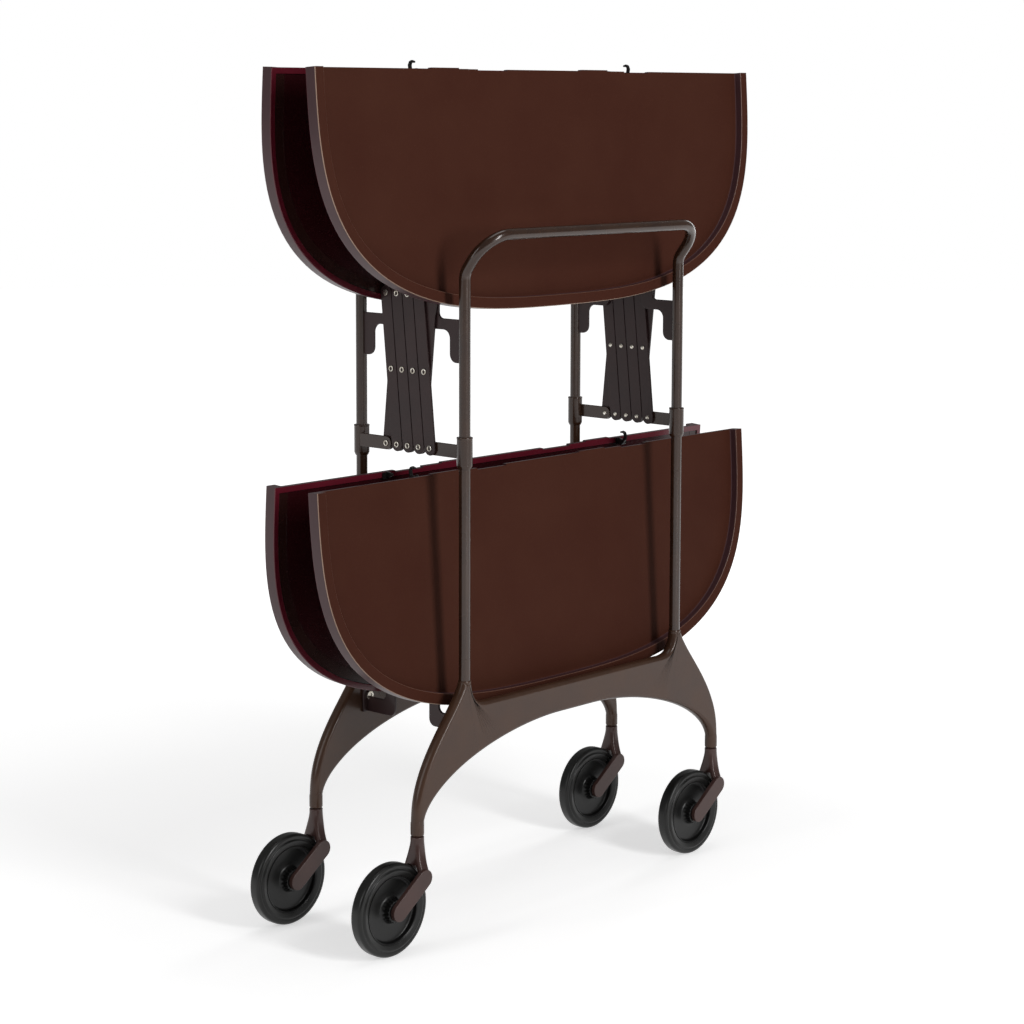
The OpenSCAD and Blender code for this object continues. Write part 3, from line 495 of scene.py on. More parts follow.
def makePiece(name, shell, finish, body, stands, smoothUnder=40):
    """Turns a shell into a piece."""
    finishPiece(name, shellMesh(name, shell), finish, body, stands, None, smoothUnder)


def twoSides(name, shell, finish, body, stands, smoothUnder=40):
    """The same piece on the near frame and, turned half round, on the far one."""
    for side, turned in (("near", shell), ("far", turnHalf(shell))):
        makePiece(f"{side}{name}", turned, finish, f"{side}_{body}", f"{side}_{stands}", smoothUnder)


def edgeBroken(node, name, finish, body, width):
    """A small stamping or pin: the CAD node's own form, with its loose triangles merged, its flat
    faces made whole and its edges broken."""
    mesh = nodes[node].data.copy()
    mesh.materials.clear()
    cleanMesh(mesh, 0.002, flat=0.5)
    finishPiece(name, mesh, finish, body, node, {"width": width, "angle": 45}, 35)


# Tray leaves

leafSize = {"halfWidth": 345.0, "reach": 252.5, "thick": 14.0, "rim": 12.0, "floorDrop": 9.0,
            "floorThick": 3.0, "stepWide": 7.0, "stepHigh": 1.0, "foot": 6.4, "lip": 6.0, "lean": 3.9,
            "faceY": 38.0, "sidePower": 3.0, "endPower": 3.2}
leafEdges = {"upper": 898.696, "lower": 478.601}      # height of each leaf's straight edge
leafRound = {"rimOuter": 1.2, "rimInner": 1.0, "foot": 1.6, "back": 0.8, "footEdge": 0.4, "crease": 0.3}
leafRows = {"strip": (0, 2.0, 5.0), "round": 52, "arc": 5, "wall": (5.0, 9.0), "margin": 1.0,
            "floorRun": 3.0, "rings": (1, 0.8, 0.6, 0.4, 0.2, 0.08)}
leafTabs = {"spans": [(60, 104), (-174, -133)], "high": 1.2, "play": 0.5, "bury": 2.0, "over": 1.0}
leafFinishes = ["trayFace", "trayWallSheen", "trayRim", "trayBackShade", "trayGrooveShade", "trayEdgeHighlight", "trayLineHighlight"]
leafZones = {"foot": 13.3, "groove": 12.05, "under": 11.9, "arris": (-0.97, -0.25), "up": -0.6}


def leafCurve(inset, fractions, strip):
    """Right half of the outline drawn in by inset: x = W cos(t)^(2/p), u = D sin(t)^(2/q), moved along
    the outline's normal. Rows stand at the strip's heights first, then at equal parts of the arc."""
    s = leafSize
    q = np.linspace(0, 1, 3000)
    t = np.pi / 4 * (1 - np.cos(np.pi * q))
    across, down = np.cos(t) ** (2 / s["sidePower"]), np.sin(t) ** (2 / s["endPower"])
    normal = np.stack([s["sidePower"] / s["halfWidth"] * across ** (s["sidePower"] - 1),
                       s["endPower"] / s["reach"] * down ** (s["endPower"] - 1)], -1)
    normal /= np.linalg.norm(normal, axis=1, keepdims=True)
    x = across * s["halfWidth"] - inset * normal[:, 0]
    u = down * s["reach"] - inset * normal[:, 1]
    run = np.concatenate([[0], np.cumsum(np.hypot(np.diff(x), np.diff(u)))])
    start = np.interp(s["lip"], u, run)
    places = np.concatenate([np.interp(strip, u, run), start + (run[-1] - start) * fractions])
    return np.interp(places, run, x), np.interp(places, run, u)


def leafProfile():
    """Section through the rim: (inset from the outline, depth below the rim's top), floor to underside."""
    s, r, rows = leafSize, leafRound, leafRows
    rim, floorTop, back, arc = s["rim"], s["floorDrop"], s["thick"], rows["arc"]
    floorLow, stepIn = floorTop + s["floorThick"], rim + s["stepWide"]
    stepLow, end = floorLow + s["stepHigh"], stepIn + rows["margin"]
    edge, crease, foot = r["footEdge"], r["crease"], s["foot"]
    top = np.concatenate([
        [(end, floorTop), (rim + rows["floorRun"], floorTop)],
        arcPoints((rim + r["foot"], floorTop - r["foot"]), r["foot"], 90, 180, arc),
        arcPoints((rim - r["rimInner"], r["rimInner"]), r["rimInner"], 0, -90, arc),
        arcPoints((r["rimOuter"], r["rimOuter"]), r["rimOuter"], 270, 180, arc),
        [(0, level) for level in rows["wall"]],
    ])
    low = np.concatenate([
        arcPoints((r["back"], back - r["back"]), r["back"], 180, 90, arc),
        [(foot - edge, back), (foot, back - edge), (foot, stepLow - crease)],
        [(foot + crease, stepLow - 2 * crease), (stepIn - 2 * crease, stepLow - 2 * crease)],
        [(stepIn, stepLow - 2 * edge), (stepIn, floorLow), (end, floorLow)],
    ])
    return top, low


def leafShell():
    """One leaf, hanging from its straight edge: (x, depth, -u). A grid of rows round the outline by
    places through the section, then rings shrunk towards the middle of the lip's inner line."""
    s, rows = leafSize, leafRows
    strip = np.array([*rows["strip"], s["lip"] - 0.01])
    top, low = leafProfile()
    rings = np.array(rows["rings"])
    inset = np.concatenate([rings * 0 + top[0, 0], top[:, 0], low[:, 0], rings * 0 + low[-1, 0]])
    depth = np.concatenate([rings * 0 + top[0, 1], top[:, 1], low[:, 1], rings * 0 + low[-1, 1]])
    shrunk = np.concatenate([rings, top[:, 0] * 0, low[:, 0] * 0, rings[::-1]])
    curves = np.array([leafCurve(d, np.linspace(0, 1, rows["round"]), strip) for d in inset])
    x, u = curves[:, 0].T * (1 - shrunk), curves[:, 1].T
    u = np.where(u > s["lip"] - 0.005, s["lip"] + (u - s["lip"]) * (1 - shrunk), u)
    w = np.broadcast_to(depth, x.shape).copy()
    under = np.arange(len(depth)) >= len(rings) + len(top) + rows["arc"]
    w[:len(strip)] = np.where(under, s["thick"], w[:len(strip)])
    right = np.stack([x, w, -u], -1)
    left = (right * (-1, 1, 1))[::-1][1:]
    points, faces = gridShell(np.concatenate([right, left]))
    count = len(depth)
    last = len(points) - count
    cap = np.concatenate([np.arange(count), last + np.arange(count)[::-1][1:-1]])
    return points, faces + [cap[None]]


def boxShell(low, high):
    """Box between two corners."""
    low, high = np.asarray(low, float), np.asarray(high, float)
    corner = np.array([(i & 1, i >> 1 & 1, i >> 2 & 1) for i in range(8)])
    faces = np.array([(0, 2, 3, 1), (4, 5, 7, 6), (0, 1, 5, 4), (2, 6, 7, 3), (0, 4, 6, 2), (1, 3, 7, 5)])
    return low + corner * (high - low), [faces]


def cutWith(piece, shell, operation):
    """Joins a shell to a piece, or cuts it out, and leaves plain mesh."""
    tool = bpy.data.objects.new("tool", shellMesh("tool", shell))
    bpy.context.scene.collection.objects.link(tool)
    step = piece.modifiers.new("cut", "BOOLEAN")
    step.operation = operation
    step.solver = "EXACT"
    step.object = tool
    made = bpy.data.meshes.new_from_object(piece.evaluated_get(bpy.context.evaluated_depsgraph_get()))
    piece.modifiers.clear()
    piece.data = made
    bpy.data.objects.remove(tool)


def leafMesh():
    """The leaf with tabs on its straight edge and notches for the other leaf's tabs. Each face takes the
    finish of its zone, by its depth, by how far it faces up, and by whether it faces out of the outline:
    n . (x / W^2, u / D^2) > 0."""
    s, tabs, zones = leafSize, leafTabs, leafZones
    mesh = shellMesh("leaf", leafShell())
    cleanMesh(mesh, 0.02, slivers=0.01)
    piece = bpy.data.objects.new("leaf", mesh)
    bpy.context.scene.collection.objects.link(piece)
    top, low, over, play = s["floorDrop"], s["thick"], tabs["over"], tabs["play"]
    added = [boxShell((a, top, -tabs["bury"]), (b, low, tabs["high"])) for a, b in tabs["spans"]]
    cut = [boxShell((-b - play, top - over, -tabs["high"] - play), (-a + play, low + over, over))
           for a, b in tabs["spans"]]
    cutWith(piece, joinShells(*added), "UNION")
    cutWith(piece, joinShells(*cut), "DIFFERENCE")
    mesh = piece.data
    bpy.data.objects.remove(piece)
    centre, normal = np.zeros((2, len(mesh.polygons) * 3))
    mesh.polygons.foreach_get("center", centre)
    mesh.polygons.foreach_get("normal", normal)
    depth, facing = centre.reshape(-1, 3)[:, 1] / mm, normal.reshape(-1, 3)[:, 1]
    outwards = (centre * normal).reshape(-1, 3) @ (1 / s["halfWidth"] ** 2, 0, 1 / s["reach"] ** 2) > 0
    # the rim's rounded arrises, outer and inner, take painted highlights
    arris = (depth < leafRound["rimOuter"]) & (facing > zones["arris"][0]) & (facing < zones["arris"][1])
    index = {name: place for place, name in enumerate(leafFinishes)}
    # the groove and the floor's underside take painted shade
    under = np.select([depth > zones["foot"], depth > zones["groove"]],
                      [index["trayRim"], index["trayGrooveShade"]], index["trayBackShade"])
    # faces that don't face up take the walls' finish, with its painted reflection
    kind = np.select([depth > zones["under"], arris & outwards, arris, facing < zones["up"]],
                     [under, index["trayEdgeHighlight"], index["trayLineHighlight"], index["trayFace"]], index["trayWallSheen"])
    mesh.polygons.foreach_set("material_index", kind.astype(np.int32))
    return mesh


def makeLeaves():
    """Leaves of both trays: the near frame's, leaning a little, and the same turned half round."""
    s = leafSize
    flat = leafMesh()
    lean = Matrix.Rotation(math.radians(-s["lean"]), 4, "X")
    for level, edge in leafEdges.items():
        hang = Matrix.Translation((0, -s["faceY"] * mm, edge * mm)) @ lean
        for side, turn in (("near", Matrix.Identity(4)), ("far", Matrix.Rotation(math.pi, 4, "Z"))):
            mesh = flat.copy()
            mesh.transform(turn @ hang)
            mesh.name = f"{side}{level.title()}Tray"
            leaf = f"{side}_{level}_leaf"
            finishPiece(mesh.name, mesh, leafFinishes, leaf, leaf,
                        {"width": 0.5, "angle": 55}, 50)


makeLeaves()
print("tray leaves made")


# Bent handle tubes

tubeSize = {"x": 173.4, "y": 75.8, "r": 6.0, "low": 267.3, "top": 730.45, "out": 30.9, "tilt": 38.0,
            "bendR": 20.0, "cornerR": 34.0, "sides": 32}
tubeRows = {"upright": 10, "bend": 9, "corner": 15, "bar": 6}     # rings along half the tube


def tubePath():
    """Left half of the tube's centre line, foot to the middle of the bar: an upright, a bend of the
    tilt's angle, a straight side, a quarter turn and half the bar, with the direction at each point."""
    s, rows = tubeSize, tubeRows
    tilt = math.radians(s["tilt"])
    rise = (s["out"] - s["bendR"] * (1 - math.cos(tilt))) / math.sin(tilt)
    bendZ = s["top"] - s["bendR"] * math.sin(tilt) - rise * math.cos(tilt)
    side, out, up = np.array([1.0, 0, 0]), np.array([0, -1.0, 0]), np.array([0, 0, 1.0])
    lean = math.sin(tilt) * out + math.cos(tilt) * up
    foot = np.array([-s["x"], -s["y"], s["low"]])
    start = np.array([-s["x"], -s["y"], bendZ])
    upright = foot + (start - foot) * np.linspace(0, 0.98, rows["upright"])[:, None]
    a = np.linspace(0, tilt, rows["bend"])[:, None]
    bend = start + s["bendR"] * (np.sin(a) * up + (1 - np.cos(a)) * out)
    bendWay = np.cos(a) * up + np.sin(a) * out
    end = bend[-1] + lean * (rise - s["cornerR"])
    b = np.linspace(0, np.pi / 2, rows["corner"])[:, None]
    corner = end + s["cornerR"] * (np.sin(b) * lean + (1 - np.cos(b)) * side)
    cornerWay = np.cos(b) * lean + np.sin(b) * side
    middle = np.array([0, *corner[-1, 1:]])
    bar = corner[-1] + (middle - corner[-1]) * np.linspace(0.1, 1, rows["bar"])[:, None]
    path = np.concatenate([upright, bend, corner, bar])
    way = np.concatenate([np.tile(up, (rows["upright"], 1)), bendWay, cornerWay,
                          np.tile(side, (rows["bar"], 1))])
    return path, way, np.cross(side, lean)


def sweepTube(path, way, across, r, sides):
    """Circle carried along a path: p + r (cos a n + sin a b), with n and b square to the direction."""
    n = np.cross(way, across)
    n /= np.linalg.norm(n, axis=1, keepdims=True)
    b = np.cross(way, n)
    angle = np.linspace(0, 2 * np.pi, sides, endpoint=False)
    ring = n[:, None] * np.cos(angle)[None, :, None] + b[:, None] * np.sin(angle)[None, :, None]
    points, faces = gridShell(path[:, None] + r * ring, closeColumns=True)
    caps = np.stack([np.arange(sides)[::-1], np.arange(sides) + len(points) - sides])
    return points, faces + [caps]


def makeTubes():
    """Each frame's tube in one piece: the half path and its mirror image, swept."""
    path, way, across = tubePath()
    fullPath = np.concatenate([path, (path * (-1, 1, 1))[::-1][1:]])
    fullWay = np.concatenate([way, (way * (1, -1, -1))[::-1][1:]])
    shell = sweepTube(fullPath, fullWay, across, tubeSize["r"], tubeSize["sides"])
    twoSides("BentTube", shell, "tube", "frame", "handle_tube")


makeTubes()
print("handle tubes made")


# Leg castings

castSize = {"y": 75.8, "thick": 13.2, "bridgeLow": 208.0, "bridgeTop": 241.5, "archStart": 29.2,
            "archPower": 1.78, "footZ": 127.9, "stemX": 243.5, "stemWall": 6.7, "stemR": 7.1,
            "stemZ": 116.9, "stemH": 17.0, "tubeX": 173.4, "seat": 5.9, "jointZ": 267.3, "collarR": 6.9,
            "collarH": 5.0, "buried": 8.0}
castRound = {"bridge": 4.4, "foot": 6.5, "seat": 5.6, "footTop": 165.0, "seam": 0.15}
castHandles = {"bridgeFar": 24.0, "bridgeNear": 6.0, "seatIn": 2.0, "seatUp": 8.0, "legOut": 12.0,
               "legDown": 34.0, "legUp": 68.0}
castRows = {"half": 64, "flat": 4, "inside": 15, "outside": 34, "edge": 21}


def bezier(a, b, c, d, count):
    """Cubic curve from a to d, with b and c as handles."""
    t = np.linspace(0, 1, count)[:, None]
    a, b, c, d = (np.asarray(p, float) for p in (a, b, c, d))
    return a * (1 - t) ** 3 + 3 * b * t * (1 - t) ** 2 + 3 * c * t ** 2 * (1 - t) + d * t ** 3


def castHalf():
    """Right half of the outline: the arch below, and the bridge, upright and leg above, matched in count.
    The arch is a quarter of |x / a|^p + |z / b|^p = 1."""
    s, h, rows = castSize, castHandles, castRows
    foot, outer = s["stemX"] - s["stemWall"], s["stemX"] + s["stemWall"]
    angle = np.pi / 2 * (1 - np.linspace(0, 1, rows["half"] - rows["flat"]))
    across, up = (part.clip(0) ** (2 / s["archPower"]) for part in (np.cos(angle), np.sin(angle)))
    arch = np.stack([s["archStart"] + (foot - s["archStart"]) * across,
                     s["footZ"] + (s["bridgeLow"] - s["footZ"]) * up], -1)
    start = np.stack([np.linspace(0, s["archStart"], rows["flat"] + 1)[:-1],
                      np.full(rows["flat"], s["bridgeLow"])], -1)
    left, right, z, top = s["tubeX"] - s["seat"], s["tubeX"] + s["seat"], s["jointZ"], s["bridgeTop"]
    inside = bezier((left - h["bridgeFar"], top), (left - h["bridgeNear"], top),
                    (left - h["seatIn"], top + h["seatUp"]), (left, z), rows["inside"])
    outside = bezier((right, z), (right + h["legOut"], z - h["legDown"]),
                     (outer, s["footZ"] + h["legUp"]), (outer, s["footZ"]), rows["outside"])
    count = rows["half"] - rows["inside"] - rows["outside"]
    bridge = np.stack([np.linspace(0, inside[0, 0], count + 1)[:-1], np.full(count, top)], -1)
    return np.concatenate([start, arch]), np.concatenate([bridge, inside, outside])


def castShell():
    """Outline copies through the thickness, drawn in by r (1 - cos a) at y = h sin a, so the edge is
    a half round that turns into a full round towards the stems and the tube seats."""
    s, edge = castSize, castRound
    low, top = castHalf()
    count = len(low)
    loop = np.concatenate([low, top[::-1], (top * (-1, 1))[1:], (low * (-1, 1))[::-1][:-1]])
    normal = outwardNormals(loop) * np.sign(signedArea(loop))
    height = loop[:, 1]
    foot = 1 - smoothStep(height, s["footZ"], edge["footTop"])
    seat = smoothStep(height, s["bridgeTop"] + 1, s["jointZ"])
    r = edge["bridge"] + (edge["foot"] - edge["bridge"]) * foot + (edge["seat"] - edge["bridge"]) * seat
    angle = np.radians([-90, *np.linspace(-90, 90, castRows["edge"]), 90])
    drawn = r[None, :] * (1 - np.cos(angle))[:, None]
    drawn[[0, -1]] += edge["seam"]               # a ring just inside each flat face keeps its shading flat
    flat = loop[None] - drawn[..., None] * normal[None]
    y = s["thick"] / 2 * np.sin(angle)[:, None] * np.ones(len(loop))
    points, faces = gridShell(np.stack([flat[..., 0], y - s["y"], flat[..., 1]], -1), closeColumns=True)
    step = np.arange(count - 1)
    lower, upper = step, 2 * count - 1 - step
    leftLower, leftNext = (len(loop) - step) % len(loop), (len(loop) - step - 1) % len(loop)
    leftUpper = 2 * count - 1 + step
    right = np.stack([lower, lower + 1, upper - 1, upper], -1)
    left = np.stack([leftLower, leftUpper, leftUpper + 1, leftNext], -1)
    face = np.concatenate([right, left])
    return points, faces + [face, face[:, ::-1] + len(points) - len(loop)]


def makeCastings():
    """Each casting with turned stem ends, and turned collars round the tubes' feet."""
    s = castSize
    r, low, high = s["stemR"], s["stemZ"], s["stemZ"] + s["stemH"]
    stem = lathe([(0, low), (r - 1.6, low), (r - 0.5, low + 0.5), (r, low + 1.6), (r, high - 4),
                  (r - 0.7, high), (0, high)], (s["stemX"], -s["y"], 0), "z", 40)
    c, top, neck = s["collarR"], s["jointZ"], s["jointZ"] - s["collarH"]
    collar = lathe([(0, neck - s["buried"]), (c - 2, neck - s["buried"]), (c - 0.6, neck), (c, top - 2),
                    (c, top - 0.9), (c - 0.6, top), (0, top)], (s["tubeX"], -s["y"], 0), "z", 40)
    shell = joinShells(castShell(), stem, mirrorAcross(stem), collar, mirrorAcross(collar))
    twoSides("CastLegs", shell, "cast", "frame", "leg_casting", 50)


makeCastings()
print("leg castings made")


# Bracket plates. Outlines use distance from the middle plane, then height

layerSize = {"plateIn": 171.9, "plate": 3.0, "inner": 175.2, "outer": 177.9, "link": 2.5, "face": 180.4,
             "edge": 0.6}
flangeSize = {"y": 66.2, "thick": 3.0, "low": 211.05, "high": 235.05, "left": 165.4, "right": 181.4,
              "edge": 0.7}
postSize = {"x": 32.0, "r": 7.4995, "neckR": 5.0, "pinY": 33.1457, "heel": 8.0, "fillet": 6.0}


def neckOutline(post, postR, tip, tipR):
    """From the right of a post, round its narrower tip, and back to the post's left."""
    d = np.subtract(tip, post)
    along = math.degrees(math.atan2(d[1], d[0]))
    side = math.degrees(math.acos((postR - tipR) / math.hypot(*d)))
    return np.concatenate([arcPoints(post, postR, 0, along - side, 7),
                           arcPoints(tip, tipR, along - side, along + side, 15),
                           arcPoints(post, postR, along + side, 180, 7)])


def upperBracketOutline():
    """Post with a narrower head round the leaf's pin, an arm to the tube, and a tail along it."""
    s = {"armTop": 642.745, "armH": 11.5, "tail": 45.0, "tailW": 20.2, "corner": 9.0, "tubeY": 75.8}
    p = postSize
    low, tailY, tailZ = s["armTop"] - s["armH"], s["tubeY"] - s["tailW"], s["armTop"] - s["tail"]
    left, right = p["x"] - p["r"], p["x"] + p["r"]
    pivotZ, pinZ = pivots["near_top_link_pivot"][2], pivots["fold"][2]
    return np.concatenate([
        arcPoints((left + p["heel"], low + p["heel"]), p["heel"], 180, 270),
        arcPoints((tailY - s["corner"], low - s["corner"]), s["corner"], 90, 0),
        arcPoints((tailY + s["corner"], tailZ + s["corner"]), s["corner"], 180, 270),
        [(s["tubeY"], tailZ), (s["tubeY"], s["armTop"])],
        arcPoints((right + p["fillet"], s["armTop"] + p["fillet"]), p["fillet"], 270, 180),
        neckOutline((p["x"], pivotZ), p["r"], (p["pinY"], pinZ), p["neckR"]),
    ])


def lowerBracketOutline():
    """The same post on an arm that ends at its flange."""
    s = {"armLow": 211.05, "armH": 16.3, "root": 75.8 - 6.6, "postCut": 0.5, "neckDrop": 10.0}
    p = postSize
    half, middle = p["r"] - s["postCut"], p["x"] + s["postCut"]
    armTop, pinZ = s["armLow"] + s["armH"], pivots["near_lower_leaf_hinge"][2]
    return np.concatenate([
        arcPoints((middle - half + p["heel"], s["armLow"] + p["heel"]), p["heel"], 180, 270),
        [(s["root"], s["armLow"]), (s["root"], armTop)],
        arcPoints((middle + half + p["fillet"], armTop + p["fillet"]), p["fillet"], 270, 180),
        neckOutline((middle, pinZ - s["neckDrop"]), half, (p["pinY"], pinZ), p["neckR"]),
    ])


def makeBrackets():
    """Upper plates, and lower plates with their bolted flanges."""
    low, f = layerSize["plateIn"], flangeSize
    high, flip = low + layerSize["plate"], (-1, 1)
    upper = plate(upperBracketOutline() * flip, low, high, layerSize["edge"])
    lower = plate(lowerBracketOutline() * flip, low, high, layerSize["edge"])
    near, far = -f["y"] - f["thick"], -f["y"]
    flange = plate([(near, f["low"]), (far, f["low"]), (far, f["high"]), (near, f["high"])],
                   f["left"], f["right"], f["edge"])
    for level, shell in (("upper", upper), ("lower", joinShells(lower, flange))):
        both = joinShells(shell, mirrorAcross(shell))
        twoSides(f"{level.title()}Brackets", both, "strip", "frame",
                 f"{level}_brackets", 35)


makeBrackets()
print("brackets made")


# Lattice links, sleeves and their rivets

latticeSize = {"pitch": 15.999, "columns": 32.0, "linkR": 7.4995, "edge": 0.45, "rivetR": 2.0,
               "boreR": 1.55, "headR": 3.25, "headH": 1.0, "gap": 0.075}
topZ = pivots["near_top_link_pivot"][2]
lowZ = pivots["near_sleeve_pivot"][2]
midZ = (topZ + lowZ) / 2


def columnY(k):
    """Distance of the lattice's column k from the middle plane."""
    return -latticeSize["columns"] + k * latticeSize["pitch"]


def linkShell(topColumn, lowColumn, layer):
    """One flat link with round ends, from a column at the bottom to one at the top."""
    s = latticeSize
    outline = roundBar((columnY(lowColumn), lowZ), (columnY(topColumn), topZ), s["linkR"], 17)
    return plate(outline, layer, layer + layerSize["link"], s["edge"])


def linkPair(topColumn, lowColumn):
    """Links that run down and in hang on the inner layer at the left, the others on the outer."""
    layers = (layerSize["inner"], layerSize["outer"])
    left, right = (linkShell(topColumn, lowColumn, layer)
                   for layer in (layers if lowColumn > topColumn else layers[::-1]))
    return joinShells(mirrorAcross(left), right)


def rivetTail(level):
    """Section of a rivet's rolled tail below a level: (radius, place along the pin)."""
    pin, low = latticeSize["rivetR"], level - latticeSize["headH"]
    return [(0, low), (pin - 0.3, low + 0.05), (pin + 0.25, level - 0.7), (pin + 0.5, level - 0.3),
            (pin + 0.5, level), (pin, level)]


def rivetHead(level):
    """Section of its tubular head above a level: a rolled ring round an open bore."""
    s = latticeSize
    pin, bore, r, top = s["rivetR"], s["boreR"], s["headR"], level + s["headH"]
    return [(pin, level), (r - 0.3, level), (r - 0.05, level + 0.2), (r, level + 0.45),
            (r - 0.12, level + 0.75), (r - 0.45, top - 0.04), (r - 0.85, top), (r - 1.25, top - 0.12),
            (bore + 0.1, top - 0.4), (bore, top - 0.7), (bore, level - 1.6), (0, level - 1.8)]


def rivetPair(y, z):
    """Rivets through both layers, at the left and at the right."""
    gap = latticeSize["gap"]
    profile = rivetTail(layerSize["inner"] - gap) + rivetHead(layerSize["face"] + gap)
    one = lathe(profile, (0, y, z), "x", 28)
    return joinShells(one, mirrorAcross(one))


def halfRivet(y, z, outward):
    """Half of a rivet, in one layer only: the head in the outer layer, or the tail in the inner one."""
    pin, low = latticeSize["rivetR"], layerSize["outer"] if outward else layerSize["inner"]
    high = low + layerSize["link"]
    if outward:
        profile = [(0, low), (pin, low)] + rivetHead(high)
    else:
        profile = rivetTail(low) + [(pin, high), (0, high)]
    return lathe(profile, (0, y, z), "x", 28)


def makeLattice():
    """Each half lattice's links by their (top, bottom) columns, and the rivets that ride on them. The
    rivets in the middle are halves, because near and far links are separate chains of bodies."""
    links = {"top_links": (0, 1), "foot_links": (1, 0), "mid_links_a": (2, 1), "mid_links_b": (1, 2)}
    first, second, third = (columnY(k) for k in range(3))
    rivets = {
        "top_rivets": joinShells(rivetPair((first + second) / 2, midZ), rivetPair(second, lowZ)),
        "foot_rivets": joinShells(rivetPair(second, topZ), rivetPair(first, lowZ)),
        "mid_rivets_a": joinShells(rivetPair((second + third) / 2, midZ),
                                   mirrorAcross(halfRivet(third, topZ, True)),
                                   halfRivet(third, topZ, False)),
        "mid_rivets_b": joinShells(mirrorAcross(halfRivet(third, lowZ, False)),
                                   halfRivet(third, lowZ, True)),
    }
    for (body, ends), (rivetNode, rivetShell) in zip(links.items(), rivets.items()):
        words = body.split("_")
        title = words[0] + "".join(word.title() for word in words[1:])
        twoSides(f"_{title}", linkPair(*ends), "strip", body, body, 35)
        twoSides(f"_{title}_rivets", rivetShell, "nickel", body, rivetNode, 35)


def sleeveShell(armLayer):
    """Turned sleeve with a lip above and a chamfer below, and the flat arm that the foot link hangs on."""
    s = {"x": 173.4, "y": 75.8, "r": 8.25, "bore": 6.15, "long": 32.8, "sag": 1.0, "armH": 14.2}
    r, bore, low = s["r"], s["bore"], lowZ - s["long"] / 2 - s["sag"]
    top = low + s["long"]
    body = lathe([(bore, low), (r - 1.4, low), (r - 1.15, low + 0.4), (r - 0.1, low + 2.8), (r, low + 3.3),
                  (r, top - 1.9), (r + 0.1, top - 1.6), (r + 0.3, top - 1.3), (r + 0.3, top - 0.5),
                  (r, top - 0.1), (r - 0.4, top), (bore + 0.5, top), (bore, top - 0.5), (bore, low)],
                 (s["x"], -s["y"], 0), "z", 44)
    bar = roundBar((-s["y"] + s["armH"] / 2, lowZ), (-postSize["x"], lowZ), s["armH"] / 2, 17)
    return joinShells(body, plate(bar, armLayer, armLayer + layerSize["link"], latticeSize["edge"]))


def makeSleeves():
    """Both sleeves of a frame: the left arm lies in the inner layer, the right one in the outer."""
    both = joinShells(mirrorAcross(sleeveShell(layerSize["inner"])), sleeveShell(layerSize["outer"]))
    twoSides("SlidingSleeves", both, "tube", "sleeves", "sleeves")


makeLattice()
makeSleeves()
print("lattice and sleeves made")


# Hinge pins, bolts, lugs, ears and latch hooks

def makeFittings():
    """Small parts that keep the CAD nodes' own forms, with edges broken by these widths."""
    broken = {"fasteners": 0.3, "fittings": 0.3, "hook": 0.35}
    for side in ("near", "far"):
        edgeBroken(f"{side}_frame_fasteners", f"{side}Fasteners", "nickel", f"{side}_frame",
                   broken["fasteners"])
        for level in ("upper", "lower"):
            node, title = f"{side}_{level}", f"{side}{level.title()}"
            edgeBroken(f"{node}_fittings", f"{title}Fittings", "stamp", f"{node}_leaf",
                       broken["fittings"])
            edgeBroken(f"{node}_hook", f"{title}LatchHook", "stamp", f"{node}_hook",
                       broken["hook"])


makeFittings()
print("fittings and hooks made")


# Casters

casterSize = {"x": 243.5, "y": 75.8, "trail": 41.0, "wheelR": 48.5, "forkW": 34.0, "armT": 5.0,
              "armW": 19.0, "knee": (-4.6, 75.5), "armEdge": 0.6, "axleR": 3.0, "axleEdge": 0.4,
              "axleBury": 3.3}
neckSize = {"r": 7.1, "split": 115.6, "top": 113.0, "low": 77.0, "bare": 77.0, "clear": 3.0, "web": 76.2,
            "front": 4.7, "back": 8.4, "proud": 0.5, "flare": 2.0, "square": 5.0, "squareBy": 0.75,
            "arch": (9.2, 10.2), "pinR": 4.4, "pinLow": 108.0, "pinHigh": 130.0, "sides": 120, "rings": 34}
neckUnder = (0.97, 0.85, 0.7, 0.63, 0.61, 0.6, 0.59, 0.58, 0.57, 0.55, 0.4, 0.2, 0)   # rings below it
neckLid = ((0, 0.7), (6.1, 0.7), (6.8, 0.4))      # its chamfered top: radius, and height above the split


def neckFoot(x, y):
    """Height of the neck's foot: the circle that clears the tyre between the arms, level outside it."""
    s, w = neckSize, casterSize
    circle = w["wheelR"] + np.sqrt((w["wheelR"] + s["clear"]) ** 2 - (x + w["trail"]) ** 2)
    arch = np.maximum(circle, s["web"])
    return arch + (s["bare"] - arch) * smoothStep(np.abs(y), *s["arch"])


